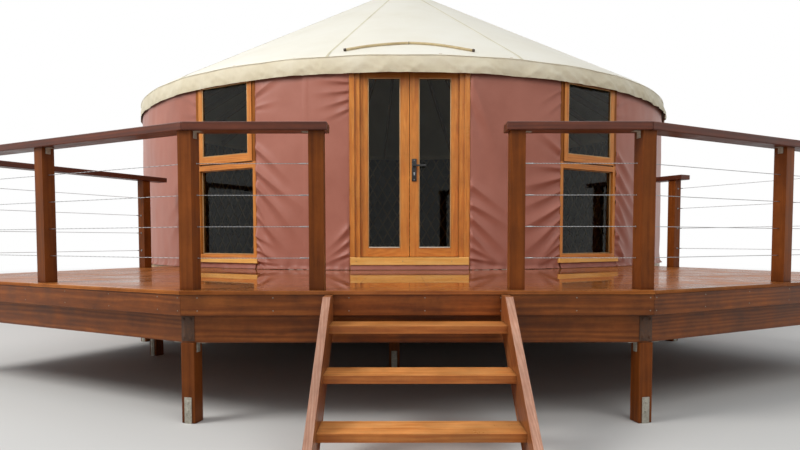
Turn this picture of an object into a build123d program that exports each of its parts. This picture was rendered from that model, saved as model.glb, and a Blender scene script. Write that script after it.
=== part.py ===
# Fabric yurt on a raised timber deck, in millimetres. The origin lies on the ground under the
# centre of the yurt, +Z is up, and the door looks along -Y.
# Azimuths are counted from the front (-Y), positive toward +X.
import os
from math import asin, atan2, cos, degrees, hypot, radians, sin, sqrt, tan

from build123d import *

os.makedirs("parts", exist_ok=True)

# Fits
touch = 0.3            # gap between faces that bear on each other
rafter_gap = 0.6       # under the many-sided roof cover
leaf_gap = 5.0         # running gap all round a door leaf

# Deck plan: a front side and two side bays that turn back, each end cut square to its bay
deck_top = 810.0
deck_axis_x = 69.0     # the deck stands a hand's breadth off the axis of the yurt
deck_front_y = -6357.0
front_half = 1397.0
bay_turn = 28.7
bay_length = 2969.0
board_t = 22.0
nosing = 9.0
deck_wall_gap = 3.0
fascia_h, fascia_t = 126.0, 25.0
joist_t, joist_pitch = 45.0, 450.0
bearer_h, bearer_t, bearer_setback = 170.0, 70.0, 65.0
inner_post_r, inner_post_mid, inner_post_step = 4640.0, -1.0, 30.0
inner_bearer_over = 300.0

# Posts and railing
post = 90.0
post_inset = 107.6     # post centres behind the face of the fascia
rail_under = 945.0     # underside of the top rail above the deck
rail_w, rail_t = 140.0, 50.0
opening_half = 600.0   # centres of the two posts beside the stair
rail_overhang = 70.0
end_post_at = 2005.0   # from the outer corner post to the last post, along the end
end_rail_stop = 2262.0
stub_start = 1868.0
cable_d, cable_hole_d = 4.0, 8.0
cable_rows = 4
fitting_d, fitting_l = 10.0, 62.0
end_cable_first, end_cable_pitch = 208.0, 215.0
bracket, bracket_w, bracket_t = 42.0, 36.0, 3.0
strap_w, strap_t, strap_h = 48.0, 5.0, 160.0
bolt_d, bolt_h = 16.0, 8.0
bearer_bracket, corner_plate_w, corner_plate_h = 60.0, 44.0, 150.0

# Stair
stair_half = 540.0
stringer_t, stringer_w = 45.0, 240.0
stair_slope = 37.8
stringer_y, stringer_z = -6482.0, 801.0    # a point on the upper edge
stringer_top = 786.0
stringer_toe_y = -7462.0
tread_d, tread_t, tread_first_y = 215.0, 42.0, -6596.0
tread_going, tread_rise, tread_first_z = 275.0, 217.0, 632.0
tread_count = 3
tread_housing = 12.0

# Yurt
door_turn = 1.0        # the door looks a degree toward +X
wall_r = 3780.0        # outside of the wall cover
cover_t = 8.0
cover_top = 2035.0
lath_t, lath_w = 10.0, 32.0
lath_reach = 260.0  # depth of the slab that cuts a lath out of the wall strip
lath_count = 56
lath_rise = 1.73       # rise of a lath over its run
wall_sides = 40        # the laths and their wire rope bend at the corners of this polygon
round_sides = 96       # sides of the floor, the wall cover and the roof cover
crown_sides = 32
lath_margin = 0.35     # degrees between a lattice and the frame beside it
floor_lip, floor_t = 10.0, 40.0     # the floor runs out past the wall cover
floor_rim_t, floor_rim_sides, floor_joist_h, floor_joist_pitch = 20.0, 32, 180.0, 600.0
floor_bearer_w, floor_bearer_h, floor_bearer_pitch = 90.0, 190.0, 1200.0
floor_post_edge = 300.0  # least distance of a post under the floor from its edge

roof_slope = 28.8
eave_out, eave_h = 21.0, 2122.0            # crease of the roof cover, past the wall, above the floor
valance_h, valance_t, eave_soft = 175.0, 8.0, 14.0
roof_t = 10.0
crown_r, crown_t, crown_h = 450.0, 60.0, 140.0
dome_rise, dome_t, dome_lip, dome_bands = 185.0, 6.0, 12.0, 4
dome_flange_w, dome_flange_t = 40.0, 8.0
rafter_w, rafter_h, rafter_count = 40.0, 85.0, 32
cable_ring_t = 8.0     # the wire rope is drawn square
batten_d, batten_half_angle, batten_bends = 26.0, 10.2, 5
batten_peak_in, batten_end_in = 353.0, 129.0

# Door, in a flat frame across the round wall
door_half = 600.0
door_setback = 44.0    # front of the frame behind the outside of the wall
door_depth = 86.0
casing_w, casing_step = 52.0, 14.0
jamb_in = 509.5
stop_w, stop_t = 13.5, 24.5
head_t = 35.0
sill_z0, sill_z1, sill_out = 50.0, 125.0, 16.0
leaf_t, stile_w, leaf_top_rail, leaf_bottom_rail = 42.0, 88.0, 76.0, 90.0
door_pane_t = 10.0
hinge_r, hinge_h = 6.0, 90.0
hinge_heights = (250.0, 1000.0, 1770.0)
plate_w, plate_h, plate_t, plate_z = 46.0, 222.0, 10.0, 887.0
plate_x, lever_z, lever_len = 46.5, 1040.0, 118.0
spindle_d, spindle_hole_d = 9.0, 11.0

# Windows, in flat frames too
window_az = 31.4
window_azimuths = (-window_az, window_az, 180.0 - window_az, 180.0 + window_az)
window_half = 434.0
window_setback = 22.0
window_depth = 80.0
window_jamb = 42.0
window_sill_z0, window_sill_z1, window_sill_out, window_sill_ear = 60.0, 108.0, 30.0, 30.0
transom_z0, transom_z1 = 1056.0, 1110.0
low_rail = 40.0
sash_z0, sash_stile, sash_bottom, sash_top, sash_t, sash_proud = 1125.0, 57.0, 78.0, 42.0, 40.0, 8.0
pane_t = 12.0

# Worked out from the above
floor_r = wall_r + floor_lip
eave_r = wall_r + eave_out
batten_peak_r, batten_end_r = eave_r - batten_peak_in, eave_r - batten_end_in
door_front = wall_r - door_setback         # from the centre to the front of the frame
window_front = wall_r - window_setback
slope_t = tan(radians(roof_slope))
slope_c = cos(radians(roof_slope))
lath_r = (wall_r - cover_t) * cos(radians(180 / round_sides)) - touch    # outside of the lattice
cable_ring_r = lath_r - lath_t
frame_gap = 0.5


def roof_z(r):
    """Height of the outside of the roof cover at a radius."""
    return deck_top + eave_h + (eave_r - r) * slope_t


def rafter_top(r):
    return roof_z(r) - (roof_t + rafter_gap) / slope_c


def cable_z():
    """The rafters bear on a wire rope that lies on top of the lattice."""
    return rafter_top(cable_ring_r) - (rafter_h + cable_ring_t / 2 + touch) / slope_c


wall_top = cable_z() - cable_ring_t / 2 - touch
wall_h = wall_top - deck_top


def span(x0, x1, y0, y1, z0, z1):
    """Box between two corners."""
    return Pos((x0 + x1) / 2, (y0 + y1) / 2, (z0 + z1) / 2) * Box(x1 - x0, y1 - y0, z1 - z0)


def prism(points, z0, z1):
    """Upright prism over a plan."""
    plan = make_face(Polyline(*points, close=True))
    return Pos(0, 0, z0) * extrude(plan, z1 - z0)


def polar(r, az):
    return (r * sin(radians(az)), -r * cos(radians(az)))


def ring_sector(r0, r1, az0, az1, z0, z1, sides=round_sides):
    """Part of an upright many-sided ring wall between two azimuths."""
    step = 360 / sides
    inside = [k * step for k in range(int(az0 // step), int(az1 // step) + 2) if az0 < k * step < az1]
    turns = [az0, *inside, az1]
    return prism([polar(r1, az) for az in turns] + [polar(r0, az) for az in turns[::-1]], z0, z1)


def turned_profile(points, sides=round_sides):
    """Solid with flat sides from a closed outline of (radius, height), turned about the Z axis."""
    step = 360 / sides
    faces = []
    for (ra, za), (rb, zb) in zip(points, points[1:] + points[:1]):
        for k in range(sides):
            a0, a1 = (k + 0.5) * step, (k + 1.5) * step
            ring = [(*polar(ra, a0), za), (*polar(ra, a1), za), (*polar(rb, a1), zb), (*polar(rb, a0), zb)]
            ring = ring[1:] if ra == 0 else ring[:3] if rb == 0 else ring
            if ra or rb:
                faces.append(Face(Wire.make_polygon(ring)))
    return Solid(Shell(faces))


def offset_chain(points, inward):
    """Open chain of plan points moved to the left of its direction by inward, mitred at corners."""
    out = []
    for i, (x, y) in enumerate(points):
        dirs = []
        for a, b in ((i - 1, i), (i, i + 1)):
            if a >= 0 and b < len(points):
                dx, dy = points[b][0] - points[a][0], points[b][1] - points[a][1]
                dirs.append((dx / hypot(dx, dy), dy / hypot(dx, dy)))
        nx = sum(-d[1] for d in dirs) / len(dirs)
        ny = sum(d[0] for d in dirs) / len(dirs)
        k = inward / (nx * nx + ny * ny)
        out.append((x + nx * k, y + ny * k))
    return out


def chain_boards(points, near, far, z0, z1, ends=(0.0, 0.0)):
    """One mitred board along each side of a chain, between two offsets, a hair apart."""
    points = list(points)
    if ends != (0.0, 0.0):
        points[0] = toward(points[1], points[0], hypot(points[0][0] - points[1][0],
                           points[0][1] - points[1][1]) + ends[0])
        points[-1] = toward(points[-2], points[-1], hypot(points[-1][0] - points[-2][0],
                            points[-1][1] - points[-2][1]) + ends[1])
    outer, inner = offset_chain(points, near), offset_chain(points, far)
    boards = []
    for i in range(len(points) - 1):
        a = [toward(outer[i], outer[i + 1], touch / 2 if i else 0.0),
             toward(outer[i + 1], outer[i], touch / 2 if i < len(points) - 2 else 0.0)]
        b = [toward(inner[i], inner[i + 1], touch / 2 if i else 0.0),
             toward(inner[i + 1], inner[i], touch / 2 if i < len(points) - 2 else 0.0)]
        boards.append(prism([a[0], a[1], b[1], b[0]], z0, z1))
    return boards


def toward(a, b, dist):
    """Point at a distance from a on the way to b."""
    k = dist / hypot(b[0] - a[0], b[1] - a[1])
    return (a[0] + (b[0] - a[0]) * k, a[1] + (b[1] - a[1]) * k)


def along(a, b, s, side=0.0):
    """Point s from a toward b, and side to the left of that direction."""
    dx, dy = b[0] - a[0], b[1] - a[1]
    n = hypot(dx, dy)
    dx, dy = dx / n, dy / n
    return (a[0] + dx * s - dy * side, a[1] + dy * s + dx * side)


def mirror_x(p):
    return (2 * deck_axis_x - p[0], p[1])


def corners():
    """Outer plan of the deck from the left end to the right end, and the two end directions."""
    c, s = cos(radians(bay_turn)), sin(radians(bay_turn))
    front = (deck_axis_x + front_half, deck_front_y)
    outer = (front[0] + bay_length * c, front[1] + bay_length * s)

    def end_at(corner, dx):
        # where the end meets the floor of the yurt
        ex, ey = dx, c
        b = corner[0] * ex + corner[1] * ey
        q = corner[0] ** 2 + corner[1] ** 2 - (floor_r + deck_wall_gap) ** 2
        t = -b - sqrt(b * b - q)
        return (corner[0] + ex * t, corner[1] + ey * t)

    outer_l = mirror_x(outer)
    return [end_at(outer_l, s), outer_l, mirror_x(front), front, outer, end_at(outer, -s)]


PLAN = corners()
POST_LINE = offset_chain(PLAN, post_inset)


# Yurt floor and what carries it
def yurt_floor():
    step = 360 / round_sides
    return prism([polar(floor_r, k * step) for k in range(round_sides)], deck_top - floor_t, deck_top)


def floor_joists():
    z1 = deck_top - floor_t
    z0 = z1 - floor_joist_h
    step = 360 / floor_rim_sides
    rim = [polar(floor_r, k * step) for k in range(floor_rim_sides + 1)]
    parts = chain_boards(rim, 0, floor_rim_t, z0, z1)
    inner = (floor_r - floor_rim_t) * cos(radians(step / 2)) - 2 * touch
    n = int((inner - joist_t) // floor_joist_pitch)
    for k in range(-n, n + 1):
        x = k * floor_joist_pitch
        half = sqrt(inner ** 2 - (abs(x) + joist_t / 2) ** 2)
        parts.append(span(x - joist_t / 2, x + joist_t / 2, -half, half, z0, z1))
    return parts


def floor_grid():
    """Posts of the yurt floor: (x, y) on each bearer."""
    grid = []
    for j in range(-2, 3):
        y = j * floor_bearer_pitch
        for i in range(-2, 3):
            x = i * floor_bearer_pitch
            if hypot(x, y) < floor_r - floor_post_edge:
                grid.append((x, y))
    return grid


def floor_bearers():
    z1 = deck_top - floor_t - floor_joist_h
    parts = []
    for j in range(-2, 3):
        y = j * floor_bearer_pitch
        half = sqrt((floor_r - 2 * floor_rim_t) ** 2 - (abs(y) + floor_bearer_w / 2) ** 2) - 60
        parts.append(span(-half, half, y - floor_bearer_w / 2, y + floor_bearer_w / 2,
                          z1 - floor_bearer_h, z1))
    return parts


def floor_posts():
    top = deck_top - floor_t - floor_joist_h - floor_bearer_h
    return [span(x - post / 2, x + post / 2, y - post / 2, y + post / 2, 0, top)
            for x, y in floor_grid()]


# Deck
def deck_boards():
    edge = offset_chain(PLAN, -nosing)
    pts = [PLAN[0]] + edge[1:-1] + [PLAN[-1]]
    pts[0], pts[-1] = edge[0], edge[-1]
    slab = prism([*pts, (0, 0)], deck_top - board_t, deck_top)
    hole = Pos(0, 0, deck_top - board_t / 2) * Cylinder(floor_r + deck_wall_gap, board_t * 2)
    return slab - hole


def deck_fascia():
    z1 = deck_top - board_t
    return chain_boards(PLAN, 0, fascia_t, z1 - fascia_h, z1, ends=(-8.0, -8.0))


def deck_joists():
    z1 = deck_top - board_t
    z0 = z1 - fascia_h
    inner = offset_chain(PLAN, fascia_t + touch)
    region = prism([*inner, (0, 0)], z0, z1)
    region -= Pos(0, 0, (z0 + z1) / 2) * Cylinder(floor_r + touch, fascia_h * 2)
    parts = []
    n = int((max(x for x, y in inner) - deck_axis_x) // joist_pitch) + 1
    for k in range(-n, n):
        x = deck_axis_x + (k + 0.5) * joist_pitch
        strip = span(x - joist_t / 2, x + joist_t / 2, deck_front_y, 0, z0, z1)
        parts += [s for s in (strip & region).solids() if s.volume > 2e5]
    return parts


def inner_bearer():
    """Cranked beam under the deck joists round the front of the yurt, and its posts."""
    z1 = deck_top - board_t - fascia_h
    turns = [inner_post_mid + k * inner_post_step for k in (-1, 0, 1)]
    centres = [(inner_post_r * sin(radians(a)), -inner_post_r * cos(radians(a))) for a in turns]
    beams = chain_boards(centres, -bearer_t / 2, bearer_t / 2, z1 - bearer_h, z1,
                         ends=(inner_bearer_over, inner_bearer_over))
    return beams, list(zip(centres, turns))


def deck_bearers():
    z1 = deck_top - board_t - fascia_h
    parts = chain_boards(PLAN, bearer_setback, bearer_setback + bearer_t, z1 - bearer_h, z1,
                         ends=(-60.0, -60.0))
    return parts + inner_bearer()[0]


def turned_post(centre, turn, z0, z1):
    return Pos(centre[0], centre[1], (z0 + z1) / 2) * Rot(0, 0, turn) * Box(post, post, z1 - z0)


def deck_post_spots():
    """Posts that carry the deck: plan place and turn."""
    half = bay_turn / 2
    l_out, l_in, r_in, r_out = POST_LINE[1:5]
    spots = [(l_in, -half), (r_in, half), (l_out, -bay_turn), (r_out, bay_turn)]
    ends = [(along(POST_LINE[1], POST_LINE[0], end_post_at), -bay_turn),
            (along(POST_LINE[4], POST_LINE[5], end_post_at), bay_turn)]
    return spots + ends + inner_bearer()[1]


def deck_posts():
    top = deck_top - board_t - fascia_h - bearer_h
    return [turned_post(p, turn, 0, top) for p, turn in deck_post_spots()]


def post_straps():
    """Galvanised strap with two bolts on the outer face of each post."""
    parts = []
    for (x, y), turn in deck_post_spots():
        strap = span(-strap_w / 2, strap_w / 2, -post / 2 - strap_t, -post / 2, 0, strap_h)
        for z in (0.48, 0.82):
            head = Pos(0, -post / 2 - strap_t - bolt_h / 2, strap_h * z) * Rot(90, 0, 0)
            strap += head * extrude(RegularPolygon(bolt_d / 2, 6), bolt_h / 2, both=True)
        parts.append(Pos(x, y, 0) * Rot(0, 0, turn) * strap)
    return parts


def bearer_brackets():
    """Angles under the bearers on both sides of the corner posts, and bent plates at their corners."""
    z1 = deck_top - board_t - fascia_h - bearer_h
    parts = []
    for (x, y), turn in deck_post_spots()[:2]:
        x0 = post / 2 + touch
        leg = span(x0, x0 + bracket_t, -bracket_w / 2, bracket_w / 2, z1 - touch - bearer_bracket, z1 - touch)
        leg += span(x0, x0 + bearer_bracket, -bracket_w / 2, bracket_w / 2,
                    z1 - touch - bracket_t, z1 - touch)
        for side in (0, 180):
            parts.append(Pos(x, y, 0) * Rot(0, 0, turn + side) * leg)
    face = offset_chain(PLAN, bearer_setback)
    mid = z1 + bearer_h / 2
    for i in (2, 3):
        wing = [toward(face[i], face[i - 1], corner_plate_w), face[i],
                toward(face[i], face[i + 1], corner_plate_w)]
        inner, outer = offset_chain(wing, -touch), offset_chain(wing, -touch - bracket_t)
        plate = prism(inner + outer[::-1], mid - corner_plate_h / 2, mid + corner_plate_h / 2)
        heads = offset_chain(wing, -touch - bracket_t - bolt_h / 2 + touch)
        for a, b in ((heads[1], heads[0]), (heads[1], heads[2])):
            turn = degrees(atan2(b[1] - a[1], b[0] - a[0]))
            for z in (-0.36, 0.36):
                px, py = toward(a, b, corner_plate_w * 0.55)
                head = Pos(px, py, mid + z * corner_plate_h) * Rot(0, 0, turn) * Rot(90, 0, 0)
                plate += head * extrude(RegularPolygon(bolt_d / 2, 6), bolt_h / 2, both=True)
        parts.append(plate)
    return parts


# Railing
def railing_post_spots():
    """Railing posts: plan place, turn, and the hole rows that cables pass through."""
    half = bay_turn / 2
    l_out, l_in, r_in, r_out = POST_LINE[1:5]
    l_mid = ((l_out[0] + l_in[0]) / 2, (l_out[1] + l_in[1]) / 2)
    r_mid = ((r_out[0] + r_in[0]) / 2, (r_out[1] + r_in[1]) / 2)
    y = l_in[1]
    return {
        "left_end": ((deck_axis_x - opening_half, y), 0.0),
        "right_end": ((deck_axis_x + opening_half, y), 0.0),
        "left_corner": (l_in, -half),
        "right_corner": (r_in, half),
        "left_middle": (l_mid, -bay_turn),
        "right_middle": (r_mid, bay_turn),
        "left_outer": (l_out, -bay_turn),
        "right_outer": (r_out, bay_turn),
        "left_last": (along(POST_LINE[1], POST_LINE[0], end_post_at), -bay_turn),
        "right_last": (along(POST_LINE[4], POST_LINE[5], end_post_at), bay_turn),
    }


def row_heights():
    return [deck_top + rail_under * k / (cable_rows + 1) for k in range(1, cable_rows + 1)]


def railing_posts():
    parts = []
    for name, (centre, turn) in railing_post_spots().items():
        p = turned_post(centre, turn, deck_top, deck_top + rail_under)
        if "middle" in name:
            for z in row_heights():
                hole = Rot(0, 90, 0) * extrude(RegularPolygon(cable_hole_d / 2, 6), post, both=True)
                p -= Pos(centre[0], centre[1], z) * Rot(0, 0, turn) * hole
        parts.append(p)
    return parts


def top_rails():
    z0 = deck_top + rail_under
    z1 = z0 + rail_t
    y = POST_LINE[2][1]
    left = [along(POST_LINE[1], POST_LINE[0], end_rail_stop), *POST_LINE[1:3],
            (deck_axis_x - opening_half + rail_overhang, y)]
    right = [(deck_axis_x + opening_half - rail_overhang, y), *POST_LINE[3:5]]
    right[-1] = along(right[-2], right[-1], hypot(right[-1][0] - right[-2][0],
                      right[-1][1] - right[-2][1]) + rail_overhang)
    stub = [along(POST_LINE[4], POST_LINE[5], stub_start), along(POST_LINE[4], POST_LINE[5], end_rail_stop)]
    parts = []
    for chain in (left, right, stub):
        parts += chain_boards(chain, -rail_w / 2, rail_w / 2, z0, z1)
    return parts


def taut_cable(a, b, z, inset_a, inset_b, studs=()):
    """Wire rope between two points of the plan, with a swaged stud at the ends named, -1 or 1."""
    length = hypot(b[0] - a[0], b[1] - a[1]) - inset_a - inset_b
    turn = degrees(atan2(b[1] - a[1], b[0] - a[0]))
    rope = Rot(0, 90, 0) * extrude(RegularPolygon(cable_d / 2, 6), length / 2, both=True)
    stud = Rot(0, 90, 0) * extrude(RegularPolygon(fitting_d / 2, 6), fitting_l / 2, both=True)
    for side in studs:
        rope += Pos(side * (length - fitting_l) / 2, 0, 0) * stud
    mid = along(a, b, inset_a + length / 2)
    return Pos(mid[0], mid[1], z) * Rot(0, 0, turn) * rope


def railing_cables():
    spots = railing_post_spots()
    parts = []
    half = post / 2 + touch
    corner = (post / 2) / cos(radians(bay_turn / 2)) + cable_d / 2 * sin(radians(bay_turn / 2)) + touch
    rows = row_heights()
    for side in ("left", "right"):
        end, first = spots[side + "_end"][0], spots[side + "_corner"][0]
        outer, last = spots[side + "_outer"][0], spots[side + "_last"][0]
        for z in rows:
            parts.append(taut_cable(end, first, z, half, corner, studs=(-1,)))
            parts.append(taut_cable(first, outer, z, corner, half))
        ends = rows if side == "left" else [deck_top + end_cable_first + end_cable_pitch * k
                                            for k in range(cable_rows)]
        for z in ends:
            parts.append(taut_cable(outer, last, z, half, half, studs=(1,)))
    return parts


def rail_brackets():
    """Angle brackets between the posts and the top rail, on the side toward the stair."""
    z1 = deck_top + rail_under
    parts = []
    for name, (centre, turn) in railing_post_spots().items():
        if "last" in name:
            continue
        toward_stair = 1 if name.startswith("left") else -1
        if "end" in name:
            toward_stair = -toward_stair
        x0 = post / 2 + touch
        tall = span(x0, x0 + bracket_t, -bracket_w / 2, bracket_w / 2, z1 - touch - bracket, z1 - touch)
        flat = span(x0, x0 + bracket, -bracket_w / 2, bracket_w / 2, z1 - touch - bracket_t, z1 - touch)
        piece = tall + flat
        if toward_stair < 0:
            piece = Rot(0, 0, 180) * piece
        parts.append(Pos(centre[0], centre[1], 0) * Rot(0, 0, turn) * piece)
    return parts


# Stair
def tread_box(k, extra=0.0):
    y0 = tread_first_y - k * tread_going
    z1 = tread_first_z - k * tread_rise
    half = stair_half - stringer_t + tread_housing - touch + extra
    return span(deck_axis_x - half, deck_axis_x + half, y0 - extra, y0 + tread_d + extra,
                z1 - tread_t - extra, z1 + extra)


def stair_treads():
    return [tread_box(k) for k in range(tread_count)]


def stair_stringers():
    s, c = sin(radians(stair_slope)), cos(radians(stair_slope))
    slope = s / c
    back_y = deck_front_y - touch
    low_y, low_z = stringer_y + stringer_w * s, stringer_z - stringer_w * c
    edge = lambda z: stringer_y - (stringer_z - z) / slope
    low_edge = lambda z: low_y - (low_z - z) / slope
    toe_z = stringer_z + (stringer_toe_y - stringer_y) * slope
    profile = [(edge(stringer_top), stringer_top), (back_y, stringer_top),
               (back_y, low_z + (back_y - low_y) * slope), (low_edge(0), 0),
               (stringer_toe_y, 0), (stringer_toe_y, toe_z)]
    parts = []
    for side in (-1, 1):
        x0 = deck_axis_x + (-stair_half if side < 0 else stair_half - stringer_t)
        face = make_face(Polyline(*[(x0, y, z) for y, z in profile], close=True))
        board = extrude(face, stringer_t, dir=(1, 0, 0))
        for k in range(tread_count):
            board -= tread_box(k, touch)
        parts.append(board)
    return parts


# Wall of the yurt
def edge_azimuth(half, r):
    return degrees(asin(half / r))


def wall_spans():
    """Azimuth spans of the wall between the door and the windows."""
    r = wall_r - cover_t
    d = edge_azimuth(door_half + frame_gap, r)
    w = edge_azimuth(window_half + frame_gap, r)
    a = window_az
    return {
        "front_left": (-a + w, -d),
        "front_right": (d, a - w),
        "left": (-180 + a + w, -a - w),
        "right": (a + w, 180 - a - w),
        "back": (180 - a + w, 180 + a - w),
    }


def wall_cover(az0, az1):
    return ring_sector(wall_r - cover_t, wall_r, az0, az1, deck_top + touch, deck_top + cover_top)


def lath_layer(r0, r1, lean, az0, az1):
    """Bent laths of one layer: slanting slabs cut to a thin many-sided wall."""
    ring = prism([polar(r1, 360 * (k + 0.5) / wall_sides) for k in range(wall_sides)],
                 deck_top + touch, wall_top)
    ring -= prism([polar(r0, 360 * (k + 0.5) / wall_sides) for k in range(wall_sides)],
                  deck_top, wall_top + 1)
    cut = prism([(0, 0), polar(5200, az0), polar(5200, (az0 + az1) / 2), polar(5200, az1)],
                deck_top, wall_top + 1)
    strip = ring & cut
    pitch = 360 / lath_count
    reach = degrees(wall_h / lath_rise / r0) / 2
    angle = degrees(atan2(1, lath_rise))
    length = wall_h / cos(radians(angle)) + 120
    parts = []
    first, last = int((az0 - reach) // pitch), int((az1 + reach) // pitch) + 1
    for k in range(first, last + 1):
        az = (k + 0.5) * pitch
        slab = Pos(0, -(r0 + r1) / 2, 0) * Rot(0, lean * angle, 0) * Box(lath_w, lath_reach, length)
        slab = Pos(0, 0, deck_top + wall_h / 2) * Rot(0, 0, az) * slab
        for s in (strip & slab).solids():
            if s.volume > 12000:
                parts.append(s)
    return parts


def lattice(az0, az1):
    """The two layers of laths, joined where they cross."""
    inner = lath_layer(lath_r - 2 * lath_t, lath_r - lath_t, 1, az0 + lath_margin, az1 - lath_margin)
    outer = lath_layer(lath_r - lath_t, lath_r, -1, az0 + lath_margin, az1 - lath_margin)
    return inner[0].fuse(*inner[1:], *outer)


def wall_cable():
    z = cable_z() - cable_ring_t / 2
    turn = Rot(0, 0, 180 / wall_sides)
    outer, inner = [turn * Pos(0, 0, z) * extrude(RegularPolygon(r, wall_sides), cable_ring_t)
                    for r in (cable_ring_r + cable_ring_t / 2, cable_ring_r - cable_ring_t / 2)]
    return outer - inner


# Roof
def roof_cover():
    """Cone with a soft crease at the eave, and the valance that hangs from it."""
    r0 = (crown_r + touch) / cos(radians(180 / round_sides))
    inner_z = lambda r: roof_z(r) - roof_t / slope_c
    hem = deck_top + eave_h - valance_h
    ri = eave_r - valance_t
    shoulder, drop = eave_r - eave_soft, eave_soft * 0.8
    return turned_profile([(r0, roof_z(r0)), (shoulder, roof_z(shoulder)), (eave_r, roof_z(eave_r) - drop),
                           (eave_r, hem), (ri, hem), (ri, inner_z(ri)), (r0, inner_z(r0))])


def rafters():
    r0, r1 = crown_r + touch, cable_ring_r + 8
    depth = rafter_h / slope_c
    outline = [(r0, rafter_top(r0)), (r1, rafter_top(r1)), (r1, rafter_top(r1) - depth),
               (r0, rafter_top(r0) - depth)]
    face = make_face(Polyline(*[(r, 0, z) for r, z in outline], close=True))
    one = extrude(face, rafter_w / 2, both=True, dir=(0, 1, 0))
    pitch = 360 / rafter_count
    return [Rot(0, 0, -90 + (k + 0.5) * pitch) * one for k in range(rafter_count)]


def crown_base():
    return rafter_top(crown_r) - rafter_h / slope_c - 14


def crown_ring():
    z0, z1 = crown_base(), crown_base() + crown_h
    inner = crown_r - crown_t
    return turned_profile([(crown_r, z0), (crown_r, z1), (inner, z1), (inner, z0)], crown_sides)


def cap_curve(r, rise, z0):
    """Points of a flat arc from its rim to the axis."""
    big = (r * r + rise * rise) / (2 * rise)
    reach = asin(r / big)
    turns = [reach * (1 - k / dome_bands) for k in range(dome_bands + 1)]
    return [(big * sin(a) if a else 0, z0 + rise - big + big * cos(a)) for a in turns]


def crown_dome():
    """Clear cap with a flat flange round its foot."""
    z0 = crown_base() + crown_h + touch
    z1 = z0 + dome_flange_t
    r1 = crown_r + dome_lip
    shell_r = r1 - dome_flange_w / 2
    outside = cap_curve(shell_r, dome_rise, z1)
    inside = cap_curve(shell_r - dome_t, dome_rise - dome_t, z1)
    foot = [(shell_r - dome_t, z0), (r1, z0), (r1, z1)]
    return turned_profile(foot + outside + inside[::-1], crown_sides)


def rain_batten():
    """Bowed batten on the roof that sheds rain to both sides of the door."""
    lift = batten_d / 2 + touch
    pts = []
    for k in range(-batten_bends, batten_bends + 1):
        share = k / batten_bends
        az = batten_half_angle * share
        r = batten_peak_r + (batten_end_r - batten_peak_r) * abs(share) ** 1.5
        x, y = polar(r + lift * slope_t * slope_c, az)
        pts.append((x, y, roof_z(r) + lift * slope_c))
    path = Polyline(*pts)
    start = Plane(origin=path @ 0, z_dir=path % 0)
    return sweep(start * RegularPolygon(batten_d / 2, 8), path, transition=Transition.RIGHT)


# Door
def door_frame():
    f, b = -door_front, -door_front + door_depth
    z0, z1 = deck_top + touch, wall_top
    leaf_front = b - leaf_t
    frame = None
    for s in (-1, 1):
        profile = [(door_half, f), (door_half - casing_w, f), (door_half - casing_w, f + casing_step),
                   (jamb_in - stop_w, f + casing_step), (jamb_in - stop_w, leaf_front - leaf_gap),
                   (jamb_in, leaf_front - leaf_gap), (jamb_in, b), (door_half, b)]
        jamb = prism([(s * x, y) for x, y in profile], z0, z1)
        frame = jamb if frame is None else frame + jamb
    head_z = z1 - head_t
    frame += span(-jamb_in, jamb_in, f + casing_step, b, head_z, z1)
    frame += span(-jamb_in, jamb_in, f + casing_step, leaf_front - leaf_gap, head_z - stop_w, head_z)
    frame += span(-jamb_in, jamb_in, f + 6, b, z0, deck_top + sill_z0)
    sill = span(-door_half + 8, door_half - 8, f - sill_out, b, deck_top + sill_z0, deck_top + sill_z1)
    return frame + sill


def leaf_bounds():
    """x0, x1, z0, z1 of the right leaf."""
    return (leaf_gap / 2, jamb_in - leaf_gap, deck_top + sill_z1 + leaf_gap, wall_top - head_t - leaf_gap)


def door_leaf(side):
    x0, x1, z0, z1 = leaf_bounds()
    b = -door_front + door_depth
    f = b - leaf_t
    leaf = span(x0, x1, f, b, z0, z1)
    gx0, gx1 = x0 + stile_w, x1 - stile_w
    gz0, gz1 = z0 + leaf_bottom_rail, z1 - leaf_top_rail
    leaf -= span(gx0, gx1, f - 1, b + 1, gz0, gz1)
    groove = 8.0
    leaf -= span(gx0 - groove, gx1 + groove, (f + b - door_pane_t) / 2 - touch,
                 (f + b + door_pane_t) / 2 + touch, gz0 - groove, gz1 + groove)
    if side > 0:
        hole = Pos(plate_x, (f + b) / 2, deck_top + lever_z) * Rot(90, 0, 0)
        leaf -= hole * Cylinder(spindle_hole_d / 2, leaf_t * 2)
    return leaf if side > 0 else mirror(leaf, about=Plane.YZ)


def door_glass(side):
    x0, x1, z0, z1 = leaf_bounds()
    mid = -door_front + door_depth - leaf_t / 2
    rim = 8.0 - touch
    pane = span(x0 + stile_w - rim, x1 - stile_w + rim, mid - door_pane_t / 2, mid + door_pane_t / 2,
                z0 + leaf_bottom_rail - rim, z1 - leaf_top_rail + rim)
    return pane if side > 0 else mirror(pane, about=Plane.YZ)


def hinge_axis():
    """Plan place of the right hinge line."""
    return (jamb_in - leaf_gap / 2, -door_front + door_depth + hinge_r + touch)


def door_hinges():
    """Barrels and jamb plates of six hinges."""
    hx, hy = hinge_axis()
    b = -door_front + door_depth
    parts = []
    for side in (-1, 1):
        for z in hinge_heights:
            zc = deck_top + z + hinge_h / 2
            section = RegularPolygon(hinge_r, 8, major_radius=False, rotation=22.5)
            barrel = Pos(hx, hy, zc) * extrude(section, hinge_h / 2, both=True)
            barrel += span(hx, jamb_in + 34, b + touch, b + touch + 3, zc - hinge_h / 2, zc + hinge_h / 2)
            parts.append(barrel if side > 0 else mirror(barrel, about=Plane.YZ))
    return parts


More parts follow.
